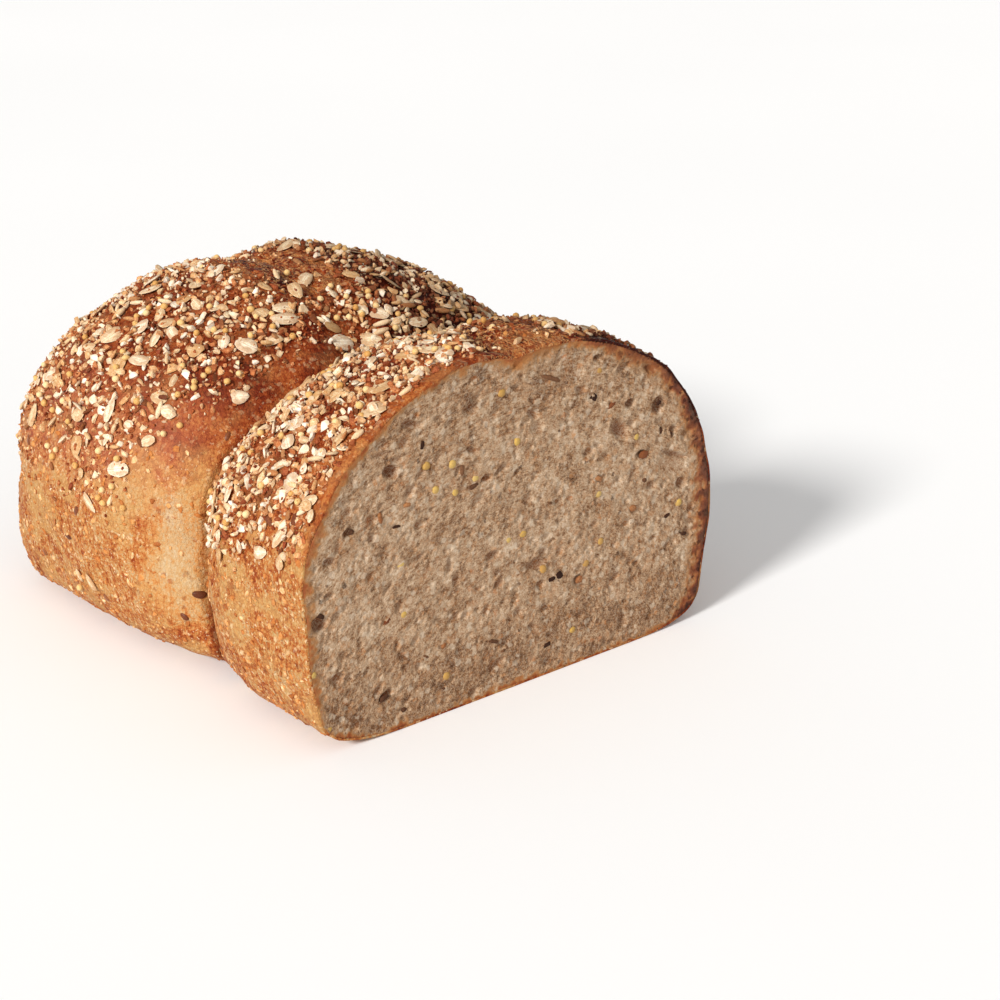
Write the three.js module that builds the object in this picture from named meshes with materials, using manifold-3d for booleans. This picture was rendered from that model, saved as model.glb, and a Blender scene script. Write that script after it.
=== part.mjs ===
// A seven-grain loaf: two risen lobes of dough, baked side by side and joined at a crosswise crease,
// cut square through the front lobe so that its crumb shows. The crown carries rolled oats, cracked
// grain, kernels and millet, and a bare slash runs along it. Loaf, pores and toppings are one solid.
import * as THREE from 'three';
import { ParametricGeometry } from 'three/addons/geometries/ParametricGeometry.js';
import { ImprovedNoise } from 'three/addons/math/ImprovedNoise.js';
import { MeshSurfaceSampler } from 'three/addons/math/MeshSurfaceSampler.js';
import { mergeVertices } from 'three/addons/utils/BufferGeometryUtils.js';
import Module from 'manifold-3d';

// Driving dimensions in millimetres. While the loaf is shaped, the cut face lies at x = 0 with the
// loaf behind it, y = 0 is the middle of the cut face and z = 0 is the base it was baked on.
const FRONT_LOBE = {
  x: -10,
  y: 0,
  halfLength: 55,
  halfWidth: 68,
  height: 90.8,
  waist: 38,
  undercut: 1.31,
  squareness: 2.9,
  baseSquareness: 3,
};
const BACK_LOBE = {
  x: -104.2,
  y: 2.8,
  halfLength: 59,
  halfWidth: 71.9,
  height: 92.7,
  waist: 36.4,
  undercut: 1.38,
  squareness: 3,
  baseSquareness: 4.5,
};
const CROWN_ROUNDNESS = 2.12;
const FLANK_ROUNDNESS = 3.54;
const BASE_LEAN = 1.35;
const BASE_EDGE_BLEND = 9;
const CREASE_BLEND_TOP = 5.3;
const CREASE_BLEND_BASE = 20.5;
const DISTANCE_SCALE = 50;

// The slash along the crown: a shallow bare trough between two low lips.
const SLASH = { y: -1, yPerX: -0.02, halfWidth: 13, depth: 1.5, lip: 0.5, lipOffset: 18, lowest: 62 };
const UNEVENNESS = { pitch: 17, height: 0.7 };

// Rays from a spine inside the loaf find its crust: rings along the length, then a closing cap.
const CREASE_X = -57;
const SPINE_HEIGHT = 40;
const STUB_PAST_CUT = 8;
const REACH = 150;
const AROUND = 54;
const RINGS_TO_CREASE = 10;
const RINGS_PAST_CREASE = 7;
const CAP_RINGS = 9;
const SEARCH_STEPS = 28;
const FLAT_BASE_TOLERANCE = 0.001;
const MERGE_TOLERANCE = 1e-4;

// Where the toppings lie: above a ragged line on the flanks, off the slash and out of the crease.
const TOPPING_LINE_FRONT = 47;
const TOPPING_LINE_BACK = 55;
const TOPPING_LINE_RAGGED = 6;
const BARE_BESIDE_CREASE = 9;
const BARE_BESIDE_CREASE_LOW = 6;
const BARE_SLASH_FRONT = 15;
const BARE_SLASH_BACK = 8;
const TOPPING_RAGGED_PITCH = 11;

// Rolled oats with a place of their own: where each lies, how long and wide it is, and its turn in
// degrees. Those on the crown are placed by x and y, those on the left flank by x and z.
const OATS_ON_CROWN = [
  [-71.7, -32, 7.4, 5.8, 20],
  [-73, -18.6, 8.2, 5.2, 70],
  [-64.4, -6.3, 8, 6.2, 80],
  [-80.5, -42.5, 7, 5.2, 10],
  [-93.4, -51, 7.8, 4.8, 10],
  [-110.6, -47.9, 7.6, 5, 80],
  [-114.6, -32.9, 7.8, 4.8, 60],
  [-89.3, 0, 8, 4.8, -50],
  [-78.4, 20, 8.8, 5.8, 5],
  [-5.9, -41.3, 8.2, 6.8, -10],
  [-14.6, -58.5, 7.8, 6, -20],
  [-10.5, -34.8, 8.2, 6, 75],
  [-13.6, -17.3, 7.2, 5.6, 10],
  [-103, -26, 7.4, 5.2, -30],
];
const OATS_ON_FLANK = [
  [-127.8, 54.9, 8, 5, 85],
  [-122, 65.6, 7, 5, -20],
  [-106, 60.4, 7.2, 5.2, 15],
  [-90.9, 40.6, 7.4, 4, -30],
  [-11.5, 55, 7, 4.6, 75],
  [-35, 44.5, 7, 4.6, 40],
];
const SEEN_OAT_THICKNESS = 1.9;

// The toppings, largest first: how many, how far apart, and how long, wide and thick each is.
const TOPPINGS = [
  { shape: rolledOat, count: 60, spacing: 10.5, length: [7, 9.2], width: [5, 6.6], thickness: [1.7, 2.3] },
  { shape: kernel, count: 56, spacing: 6.8, length: [5.6, 7.4], width: [2.3, 3], thickness: [2, 2.6] },
  { shape: crackedGrain, count: 110, spacing: 5.6, length: [3.8, 5], width: [3, 3.8], thickness: [2.4, 3] },
  { shape: milletSeed, count: 30, spacing: 5, length: [2.8, 3.2], width: [2.8, 3.2], thickness: [2.8, 3.2] },
];
const GREATEST_TILT = THREE.MathUtils.degToRad(9);
const TOPPING_TAPER = [0.2, 0.8];
const PLACING_TRIES = 900;
const UP = new THREE.Vector3(0, 0, 1);
const LEFT = new THREE.Vector3(0, -1, 0);
const NORMAL_STEP = 0.5;
const SEED = 7;

// Open pores of the crumb on the cut face. The large ones have a place of their own: y and z, half
// the length and width, the turn in degrees and the depth. Small ones lie at random between them.
const LARGE_PORES = [
  [-34.4, 78.2, 3.1, 1.3, -10, 1.5],
  [-40.5, 67.8, 2.7, 1.6, -8, 2],
  [-43, 74, 2.8, 1.8, 0, 1],
  [-15.8, 78.6, 3.2, 1.3, 8, 1.3],
  [-35, 61.4, 2.1, 1.8, 0, 1],
  [-59, 49.8, 2.1, 1.4, 0, 1.3],
  [-62.4, 35, 2.7, 2.3, 0, 2.4],
  [-43.2, 10.4, 2.2, 1.5, 20, 1.7],
  [-9, 38.2, 2.7, 1.4, 5, 1.3],
  [-8.4, 60, 4.2, 1.2, 18, 1.6],
  [17.4, 82, 5, 4.2, 0, 1.1],
  [35, 78.2, 3.1, 1.4, 12, 1.2],
  [37.8, 68, 2, 1.4, 0, 2],
  [48.4, 65.2, 2.6, 2.2, 90, 2.6],
  [34.2, 61.8, 4.2, 2.6, -42, 1.5],
  [43, 52.8, 3.1, 1.7, -15, 1.3],
  [53.6, 47.8, 6.6, 3.2, -22, 1.9],
  [57.4, 41.4, 2.2, 1.7, 0, 1.5],
  [5.8, 32, 4.6, 1.7, 5, 1.2],
  [20.2, 23.4, 2.1, 1.8, 0, 1.1],
];
const SMALL_PORE_COUNT = 22;
const SMALL_PORE_RADIUS = [1, 1.5];
const SMALL_PORE_STRETCH = [1, 1.5];
const PORE_MARGIN = 5;
const PORE_SPACING = 7;
const CUT_BLOCK = 260;

// How far faces that are nearly flat may move where they are merged.
const CRUST_TOLERANCE = 0.1;
const FINISH_TOLERANCE = 0.02;

const CRUST_COLOR = 0xc98a55;
const CRUST_ROUGHNESS = 0.6;

const { clamp, lerp, smoothstep, seededRandom } = THREE.MathUtils;
const wasm = await Module();
wasm.setup();
const noise = new ImprovedNoise();
seededRandom(SEED);
const random = () => seededRandom();
const between = ([low, high]) => lerp(low, high, random());

/** A bell that is 1 at zero and falls to 0 at a distance of one. */
function bell(distance) {
  return smoothstep(1 - Math.abs(distance), 0, 1);
}

/** The smaller of two values, with the corner where they meet rounded over the given width. */
function smoothMin(a, b, width) {
  const overlap = Math.max(width - Math.abs(a - b), 0) / width;
  return Math.min(a, b) - (overlap * overlap * width) / 4;
}

/** Rough distance in millimetres from one risen lobe's surface, negative inside. */
function lobeDistance(x, y, z, lobe) {
  const sink = clamp(1 - z / lobe.waist, 0, 1);
  const squareness = lerp(lobe.squareness, lobe.baseSquareness, sink);
  const along = Math.abs(x - lobe.x) / lobe.halfLength;
  const across = Math.abs(y - lobe.y - BASE_LEAN * sink) / lobe.halfWidth;
  const plan = (along ** squareness + across ** squareness) ** (1 / squareness);
  const above = z > lobe.waist;
  const reach = above ? lobe.height - lobe.waist : lobe.waist * lobe.undercut;
  const level = Math.abs(z - lobe.waist) / reach;
  const roundness = above ? CROWN_ROUNDNESS : FLANK_ROUNDNESS;
  return ((plan ** roundness + level ** roundness) ** (1 / roundness) - 1) * DISTANCE_SCALE;
}

/** How far the baked surface stands above the plain lobes: low lumps, the slash and its lips. */
function crustRelief(x, y, z) {
  const { pitch, height } = UNEVENNESS;
  const lumps = height * noise.noise(x / pitch, y / pitch, z / pitch);
  const fromSlash = y - SLASH.y - SLASH.yPerX * x;
  const trough = SLASH.depth * bell(fromSlash / SLASH.halfWidth);
  const lips = SLASH.lip * bell((Math.abs(fromSlash) - SLASH.lipOffset) / SLASH.halfWidth);
  const crown = smoothstep(z, SLASH.lowest, SLASH.lowest + SLASH.halfWidth);
  return lumps + crown * (lips - trough);
}

/** Rough distance in millimetres from the whole loaf's surface, negative inside. */
function loafDistance(x, y, z) {
  const sink = clamp(1 - z / FRONT_LOBE.waist, 0, 1);
  const blend = lerp(CREASE_BLEND_TOP, CREASE_BLEND_BASE, sink * sink);
  const front = lobeDistance(x, y, z, FRONT_LOBE);
  const back = lobeDistance(x, y, z, BACK_LOBE);
  const risen = smoothMin(front, back, blend) - crustRelief(x, y, z);
  return -smoothMin(-risen, z, BASE_EDGE_BLEND);
}

/** Follows a ray out of the spine until it leaves the loaf. */
function crustPoint(origin, direction, target) {
  let inside = 0;
  let outside = REACH;
  for (let step = 0; step < SEARCH_STEPS; step += 1) {
    const middle = (inside + outside) / 2;
    target.copy(direction).multiplyScalar(middle).add(origin);
    if (loafDistance(target.x, target.y, target.z) < 0) {
      inside = middle;
    } else {
      outside = middle;
    }
  }
  if (Math.abs(target.z) < FLAT_BASE_TOLERANCE) {
    target.z = 0;
  }
}

/** The uncut crust, as rings of points round the spine and a rounded cap at the far end. */
function loafGeometry() {
  const ringsAlong = RINGS_TO_CREASE + RINGS_PAST_CREASE;
  const rows = 1 + ringsAlong + CAP_RINGS;
  const origin = new THREE.Vector3();
  const direction = new THREE.Vector3();
  const place = (u, v, target) => {
    const row = Math.round(v * rows);
    const angle = -u * 2 * Math.PI;
    const toCrease = clamp((row - 1) / RINGS_TO_CREASE, 0, 1);
    const pastCrease = clamp((row - 1 - RINGS_TO_CREASE) / RINGS_PAST_CREASE, 0, 1);
    const x = lerp(lerp(STUB_PAST_CUT, CREASE_X, toCrease), BACK_LOBE.x, pastCrease);
    const turn = (clamp(row - 1 - ringsAlong, 0, CAP_RINGS) / CAP_RINGS) * (Math.PI / 2);
    origin.set(x, lerp(0, BACK_LOBE.y, pastCrease), SPINE_HEIGHT);
    if (row === 0) {
      target.copy(origin);
      return;
    }
    direction.set(-Math.sin(turn), Math.cos(turn) * Math.sin(angle), -Math.cos(turn) * Math.cos(angle));
    if (row === rows) {
      direction.set(-1, 0, 0);
    }
    crustPoint(origin, direction, target);
  };
  return new ParametricGeometry(place, AROUND, rows);
}

/** Turns a closed geometry into a solid that can be joined and cut. */
function solid(geometry) {
  const bare = new THREE.BufferGeometry();
  bare.setAttribute('position', geometry.getAttribute('position'));
  bare.setIndex(geometry.getIndex());
  const merged = mergeVertices(bare, MERGE_TOLERANCE);
  const mesh = new wasm.Mesh({
    numProp: 3,
    vertProperties: new Float32Array(merged.getAttribute('position').array),
    triVerts: new Uint32Array(merged.getIndex().array),
  });
  return new wasm.Manifold(mesh);
}

/** Turns a solid back into a geometry. */
function geometryOf(body) {
  const mesh = body.getMesh();
  const geometry = new THREE.BufferGeometry();
  const position = new THREE.BufferAttribute(new Float32Array(mesh.vertProperties), 3);
  const corners = new THREE.BufferAttribute(new Uint32Array(mesh.triVerts), 1);
  geometry.setAttribute('position', position);
  geometry.setIndex(corners);
  geometry.computeVertexNormals();
  return geometry;
}

/** A rolled oat: a flat oval flake, narrower on top. */
function rolledOat() {
  return new THREE.CylinderGeometry(0.36, 0.5, 1, 6).rotateX(Math.PI / 2);
}

/** A whole kernel: a spindle lying on its side. */
function kernel() {
  return new THREE.SphereGeometry(0.5, 3, 3).rotateZ(Math.PI / 2);
}

/** A cracked grain: a sharp chip. */
function crackedGrain() {
  return new THREE.OctahedronGeometry(0.5);
}

/** A millet seed: a small ball. */
function milletSeed() {
  return new THREE.OctahedronGeometry(0.5);
}

/** Whether toppings stuck to the crust at this point. */
function isTopped(point) {
  const { x, y, z } = point;
  const ragged = noise.noise(x / TOPPING_RAGGED_PITCH, y / TOPPING_RAGGED_PITCH, z / TOPPING_RAGGED_PITCH);
  const isBack = x < CREASE_X;
  const line = isBack ? TOPPING_LINE_BACK : TOPPING_LINE_FRONT;
  const bareSlash = isBack ? BARE_SLASH_BACK : BARE_SLASH_FRONT;
  const fall = smoothstep(FRONT_LOBE.height - z, 0, SPINE_HEIGHT);
  const bareCrease = BARE_BESIDE_CREASE + BARE_BESIDE_CREASE_LOW * fall;
  const fromSlash = Math.abs(y - SLASH.y - SLASH.yPerX * x);
  const aboveLine = z > line + TOPPING_LINE_RAGGED * ragged;
  const offSlash = fromSlash > bareSlash * (1 + ragged / 2) || z < SLASH.lowest;
  const outOfCrease = Math.abs(x - CREASE_X) > bareCrease * (1 + ragged / 3);
  return aboveLine && offSlash && outOfCrease;
}

/** Makes one end of a topping narrower and thinner than the other. */
function tapered(geometry) {
  const position = geometry.getAttribute('position');
  const taper = between(TOPPING_TAPER);
  for (let i = 0; i < position.count; i += 1) {
    const narrowing = 1 - taper * position.getX(i);
    position.setY(i, position.getY(i) * narrowing);
    position.setZ(i, position.getZ(i) * narrowing);
  }
  return geometry;
}

/** A topping of a given size lying on the crust: half sunk in it, turned and slightly tilted. */
function layTopping(shape, size, point, normal, turn) {
  const lie = new THREE.Quaternion().setFromUnitVectors(UP, normal);
  const tilt = () => between([-GREATEST_TILT, GREATEST_TILT]);
  lie.multiply(new THREE.Quaternion().setFromEuler(new THREE.Euler(tilt(), tilt(), turn)));
  const place = new THREE.Matrix4().compose(point, lie, size);
  return solid(tapered(shape()).applyMatrix4(place));
}

/** Which way the crust faces at a point on it. */
function crustNormal(point) {
  const { x, y, z } = point;
  const here = loafDistance(x, y, z);
  const rise = (dx, dy, dz) => loafDistance(x + dx, y + dy, z + dz) - here;
  const step = NORMAL_STEP;
  return new THREE.Vector3(rise(step, 0, 0), rise(0, step, 0), rise(0, 0, step)).normalize();
}

/** The oats that have a place of their own, as solids; where they lie is added to the places taken. */
function seenOatSolids(placed) {
  const oats = [];
  const lay = (origin, direction, [, , length, width, turn]) => {
    const point = new THREE.Vector3();
    crustPoint(origin, direction, point);
    placed.push({ point, spacing: length });
    const size = new THREE.Vector3(length, width, SEEN_OAT_THICKNESS);
    oats.push(layTopping(rolledOat, size, point, crustNormal(point), THREE.MathUtils.degToRad(turn)));
  };
  for (const oat of OATS_ON_CROWN) {
    lay(new THREE.Vector3(oat[0], oat[1], SPINE_HEIGHT), UP, oat);
  }
  for (const oat of OATS_ON_FLANK) {
    lay(new THREE.Vector3(oat[0], 0, oat[1]), LEFT, oat);
  }
  return oats;
}

/** All the toppings as solids, each clear of its neighbours. */
function toppingSolids(crust) {
  const sampler = new MeshSurfaceSampler(new THREE.Mesh(crust)).setRandomGenerator(random).build();
  const point = new THREE.Vector3();
  const normal = new THREE.Vector3();
  const placed = [];
  const solids = seenOatSolids(placed);
  for (const topping of TOPPINGS) {
    const { shape, length, width, thickness } = topping;
    const mostTries = PLACING_TRIES * topping.count;
    for (let made = 0, tries = 0; made < topping.count && tries < mostTries; tries += 1) {
      sampler.sample(point, normal);
      const isClear = placed.every(
        (other) => other.point.distanceTo(point) > (other.spacing + topping.spacing) / 2,
      );
      if (isClear && point.x < 0 && isTopped(point)) {
        placed.push({ point: point.clone(), spacing: topping.spacing });
        const size = new THREE.Vector3(between(length), between(width), between(thickness));
        solids.push(layTopping(shape, size, point, normal.normalize(), between([0, 2 * Math.PI])));
        made += 1;
      }
    }
  }
  return solids;
}

/** One pore that the knife opened: a rounded hollow lying on the face. */
function poreSolid(y, z, halfLength, halfWidth, turn, depth) {
  const pore = new THREE.SphereGeometry(1, 6, 3).rotateZ(Math.PI / 2);
  pore.scale(depth, halfLength, halfWidth);
  return solid(pore.rotateX(THREE.MathUtils.degToRad(turn)).translate(0, y, z));
}

/** All the pores on the face, as solids to cut out of it. */
function poreSolids() {
  const places = LARGE_PORES.map(([y, z]) => ({ y, z }));
  const solids = LARGE_PORES.map((pore) => poreSolid(...pore));
  const half = FRONT_LOBE.halfWidth;
  while (solids.length < LARGE_PORES.length + SMALL_PORE_COUNT) {
    const y = between([-half, half]);
    const z = between([0, FRONT_LOBE.height]);
    const isClear = places.every((other) => Math.hypot(other.y - y, other.z - z) > PORE_SPACING);
    if (isClear && loafDistance(0, y, z) < -PORE_MARGIN) {
      places.push({ y, z });
      const radius = between(SMALL_PORE_RADIUS);
      solids.push(poreSolid(y, z, radius * between(SMALL_PORE_STRETCH), radius, between([0, 180]), radius));
    }
  }
  return solids;
}

/** The half space in front of the cut, as a block. */
function cutBlock() {
  return solid(new THREE.BoxGeometry(CUT_BLOCK, CUT_BLOCK, CUT_BLOCK).translate(CUT_BLOCK / 2, 0, 0));
}

/** Moves the loaf so that the origin lies under the middle of its box. */
function centred(geometry) {
  geometry.computeBoundingBox();
  const box = geometry.boundingBox;
  return geometry.translate(-(box.min.x + box.max.x) / 2, -(box.min.y + box.max.y) / 2, -box.min.z);
}

const crust = loafGeometry();
const plain = solid(crust).simplify(CRUST_TOLERANCE);
const joined = wasm.Manifold.union([plain, ...toppingSolids(crust)]);
const cut = wasm.Manifold.union([cutBlock(), ...poreSolids()]);
const loaf = new THREE.Mesh(
  centred(geometryOf(joined.subtract(cut).simplify(FINISH_TOLERANCE))),
  new THREE.MeshStandardMaterial({ color: CRUST_COLOR, roughness: CRUST_ROUGHNESS, metalness: 0 }),
);
loaf.name = 'loaf';

const bread = new THREE.Group();
bread.add(loaf);

export default bread;
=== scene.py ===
import bmesh
import bpy
import numpy as np
from mathutils import Matrix, Vector


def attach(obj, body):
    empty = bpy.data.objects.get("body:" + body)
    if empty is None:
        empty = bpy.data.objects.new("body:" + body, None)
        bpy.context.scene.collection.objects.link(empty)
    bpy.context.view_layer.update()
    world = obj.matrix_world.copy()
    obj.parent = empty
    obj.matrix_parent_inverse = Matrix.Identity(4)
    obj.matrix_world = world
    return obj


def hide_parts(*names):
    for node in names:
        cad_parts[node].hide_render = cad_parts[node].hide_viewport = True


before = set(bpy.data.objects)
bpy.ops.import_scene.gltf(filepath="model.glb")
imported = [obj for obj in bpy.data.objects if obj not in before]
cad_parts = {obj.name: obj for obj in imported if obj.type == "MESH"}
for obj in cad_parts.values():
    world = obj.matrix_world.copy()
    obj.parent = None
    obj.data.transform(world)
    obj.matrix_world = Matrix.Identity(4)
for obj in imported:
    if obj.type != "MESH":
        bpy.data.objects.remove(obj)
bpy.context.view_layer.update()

# ---- Crust -------------------------------------------------------------------------------------
# The baked skin of the two lobes: golden on the flanks, red-brown on the crown, pale in the fold
# between them where the oven's heat hardly came, and torn open along the slash on the crown.
MM = 0.001
ORIGIN = np.array([81.686, -3.172, 0.0])  # the middle of the cut's foot, from which all places are given
FRONT_LOBE = dict(
    x=-10.0, y=0.0, half_length=55.0, half_width=68.0, height=90.8, waist=38.0,
    undercut=1.31, squareness=2.9, base_squareness=3.0,
)
BACK_LOBE = dict(
    x=-104.2, y=2.8, half_length=59.0, half_width=71.9, height=92.7, waist=36.4,
    undercut=1.38, squareness=3.0, base_squareness=4.5,
)
CROWN_ROUNDNESS, FLANK_ROUNDNESS, BASE_LEAN = 2.12, 3.54, 1.35
BASE_EDGE_BLEND, CREASE_BLEND_TOP, CREASE_BLEND_BASE, DISTANCE_SCALE = 9.0, 5.3, 20.5, 50.0
SLASH_Y, SLASH_Y_PER_X, SLASH_HALF, SLASH_DEPTH = -1.0, -0.02, 13.0, 1.5
SLASH_LIP, SLASH_LIP_OFFSET, SLASH_LOWEST = 0.5, 18.0, 62.0
LUMP_PITCH, LUMP_HEIGHT, SPINE_HEIGHT, REACH = 17.0, 0.7, 40.0, 150.0
CRUST_AROUND, RIM_WIDTH, RIM_ROUNDING, RECESS_DEPTH = 356, 0.65, 0.22, 4.6
# Up the flanks: the height, and how far the fold's line wanders or the front lobe swells over it.
FOLD_WANDER = [
    (0, -1.0), (9, -1.5), (17, -3.5), (24, -4.3), (32, -4.2), (42, -3.3), (55, -2.6), (66, -1.0), (80, 0.0),
]
FOLD_LIP = [(0, 0.2), (12, 0.9), (20, 2.0), (29, 2.8), (37, 2.3), (50, 1.8), (57, 1.5), (64, 0.8), (72, 0.0)]


def smooth_step(value, low, high):
    """0 below low, 1 above high and smooth between them."""
    share = np.clip((value - low) / (high - low), 0.0, 1.0)
    return share * share * (3.0 - 2.0 * share)


def dough_noise(points, pitch, seed=0):
    """Smooth random lumps from -1 to 1, about one to each pitch, at points in millimetres."""
    scaled = points / pitch
    cell = np.floor(scaled).astype(np.int64)
    inside = scaled - cell
    ease = inside**3 * (inside * (inside * 6.0 - 15.0) + 10.0)
    total = np.zeros(points.shape[:-1])
    for corner in np.ndindex(2, 2, 2):
        at = cell + np.array(corner)
        mixed = at[..., 0] * 73856093 ^ at[..., 1] * 19349663 ^ at[..., 2] * 83492791 ^ (seed + 1) * 2654435
        mixed = (mixed ^ (mixed >> 13)) * 1274126177 & 0x7FFFFFFF
        mixed = (mixed ^ (mixed >> 15)) & 0xFFFF
        share = np.where(np.array(corner) == 1, ease, 1.0 - ease).prod(axis=-1)
        total += share * (mixed / 32767.5 - 1.0)
    return total


def bell(distance):
    """1 at zero, falling to 0 at a distance of one."""
    return smooth_step(1.0 - np.abs(distance), 0.0, 1.0)


def around(value, middle, reach):
    """1 at a middle value, falling away on both sides of it within a reach."""
    return np.exp(-(((value - middle) / reach) ** 2))


def smooth_min(a, b, width):
    """The smaller of two values, with the corner where they meet rounded."""
    overlap = np.maximum(width - np.abs(a - b), 0.0) / width
    return np.minimum(a, b) - overlap * overlap * width / 4.0


def lobe_distance(points, lobe):
    """Rough distance in millimetres from one risen lobe's surface, negative inside."""
    x, y, z = points[..., 0], points[..., 1], points[..., 2]
    sink = np.clip(1.0 - z / lobe["waist"], 0.0, 1.0)
    squareness = lobe["squareness"] + (lobe["base_squareness"] - lobe["squareness"]) * sink
    along = np.abs(x - lobe["x"]) / lobe["half_length"]
    across = np.abs(y - lobe["y"] - BASE_LEAN * sink) / lobe["half_width"]
    plan = (along**squareness + across**squareness) ** (1.0 / squareness)
    above = z > lobe["waist"]
    reach = np.where(above, lobe["height"] - lobe["waist"], lobe["waist"] * lobe["undercut"])
    roundness = np.where(above, CROWN_ROUNDNESS, FLANK_ROUNDNESS)
    level = np.abs(z - lobe["waist"]) / reach
    return ((plan**roundness + level**roundness) ** (1.0 / roundness) - 1.0) * DISTANCE_SCALE


def from_slash(points):
    """How far to the right of the slash's middle line a point lies."""
    return points[..., 1] - SLASH_Y - SLASH_Y_PER_X * points[..., 0]


def from_fold(points):
    """How far from the fold between the lobes a point lies: negative on the front lobe's side."""
    return lobe_distance(points, FRONT_LOBE) - lobe_distance(points, BACK_LOBE)


def loaf_distance(points):
    """Rough distance in millimetres from the loaf's surface, negative inside."""
    sink = np.clip(1.0 - points[..., 2] / FRONT_LOBE["waist"], 0.0, 1.0)
    blend = CREASE_BLEND_TOP + (CREASE_BLEND_BASE - CREASE_BLEND_TOP) * sink * sink
    risen = smooth_min(lobe_distance(points, FRONT_LOBE), lobe_distance(points, BACK_LOBE), blend)
    aside = from_slash(points)
    crown = smooth_step(points[..., 2], SLASH_LOWEST, SLASH_LOWEST + SLASH_HALF)
    lips = SLASH_LIP * bell((np.abs(aside) - SLASH_LIP_OFFSET) / SLASH_HALF)
    trough = SLASH_DEPTH * bell(aside / SLASH_HALF)
    lumps = LUMP_HEIGHT * dough_noise(points, LUMP_PITCH)
    risen = risen - lumps - crown * (lips - trough)
    return -smooth_min(-risen, points[..., 2], BASE_EDGE_BLEND)


def crust_points(origin, direction):
    """Where rays out of the loaf's inside meet its surface."""
    inside = np.zeros(len(origin))
    outside = np.full(len(origin), REACH)
    for _ in range(24):
        middle = (inside + outside) / 2.0
        within = loaf_distance(origin + direction * middle[:, None]) < 0.0
        inside = np.where(within, middle, inside)
        outside = np.where(within, outside, middle)
    return origin + direction * inside[:, None]


def read_vectors(parts, name):
    """One vector for each vertex or normal of a mesh."""
    flat = np.empty(len(parts) * 3, dtype=np.float32)
    parts.foreach_get(name, flat)
    return flat.reshape(-1, 3).astype(float)


def read_points(mesh):
    """A mesh's vertices in millimetres, with the middle of the cut's foot as zero."""
    return read_vectors(mesh.vertices, "co") / MM - ORIGIN


def write_points(mesh, points):
    """Puts a mesh's vertices at points in millimetres from the middle of the cut's foot."""
    mesh.vertices.foreach_set("co", ((points + ORIGIN) * MM).astype(np.float32).ravel())
    mesh.update()


def keep_values(mesh, name, values):
    """Stores one number or one vector for each vertex, for the piece's material."""
    kind, field = ("FLOAT", "value") if values.ndim == 1 else ("FLOAT_VECTOR", "vector")
    mesh.attributes.new(name, kind, "POINT").data.foreach_set(field, values.astype(np.float32).ravel())


def select_only(piece, chosen, kind):
    """Leaves only the chosen faces or vertices of a piece selected, in edit mode."""
    bpy.ops.object.mode_set(mode="EDIT")
    bpy.ops.mesh.select_mode(type=kind)
    bpy.ops.mesh.select_all(action="DESELECT")
    bpy.ops.object.mode_set(mode="OBJECT")
    parts = piece.data.polygons if kind == "FACE" else piece.data.vertices
    parts.foreach_set("select", chosen.astype(bool))
    bpy.ops.object.mode_set(mode="EDIT")


def seen_fold(points):
    """How far from the line of the fold a point lies. Low on the flanks that line wanders."""
    wander = np.interp(points[..., 2], *zip(*FOLD_WANDER))
    return from_fold(points - wander[..., None] * np.array([1.0, 0.0, 0.0]))


def slash_strength(points):
    """Where the crown tore open along the slash: 1 in the middle of the two bare patches."""
    x, y, z = points[..., 0], points[..., 1], points[..., 2]
    left, right = -12.0 - 0.5 * x, 20.0 + 0.27 * x
    front = smooth_step(y, left - 3.0, left + 3.0) * smooth_step(-y, -right - 3.0, -right + 3.0)
    front = front * smooth_step(x, -40.0, -30.0)
    back = smooth_step(y, -18.0, -11.0) * smooth_step(-y, -14.0, -8.0)
    back = back * smooth_step(-x, 76.0, 86.0) * smooth_step(x, -128.0, -116.0)
    return np.maximum(front, back) * smooth_step(z, 68.0, 76.0)


def topping_cover(points):
    """How likely toppings are to have stuck at each point of the crust, from 0 to 1."""
    x, y, z = points[:, 0], points[:, 1], points[:, 2]
    fold, ragged = from_fold(points), dough_noise(points, 10.0, 50)
    fine = dough_noise(points, 4.5, 51)
    front = fold < 0.0
    line = np.where(front, 49.0, 55.0 + 11.0 * smooth_step(x, -84.0, -66.0)) + 5.0 * ragged
    cover = smooth_step(z, line - 6.0, line + 7.0)
    cover = np.maximum(cover, 0.16 * smooth_step(z, 36.0, 52.0) * (x < -78.0))
    bare_valley = smooth_step(-y, 6.0, 14.0) * np.where(front, 0.0, 1.0)
    beside = 3.0 + 9.0 * bare_valley
    cover *= smooth_step(np.abs(fold), beside * (0.8 + 0.3 * ragged), beside * 1.3 + 2.5)
    cover *= 1.0 - np.clip(1.15 * slash_strength(points) + 0.25 * ragged, 0.0, 0.97)
    crowded = smooth_step(y, -8.0, 6.0) * smooth_step(x, -98.0, -82.0)
    cover *= np.where(front, 1.0, 0.60 + 0.40 * crowded)
    cover *= smooth_step(-x, 1.2, 4.2) * np.clip(0.92 + 0.5 * fine, 0.0, 1.0)
    return cover


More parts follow.
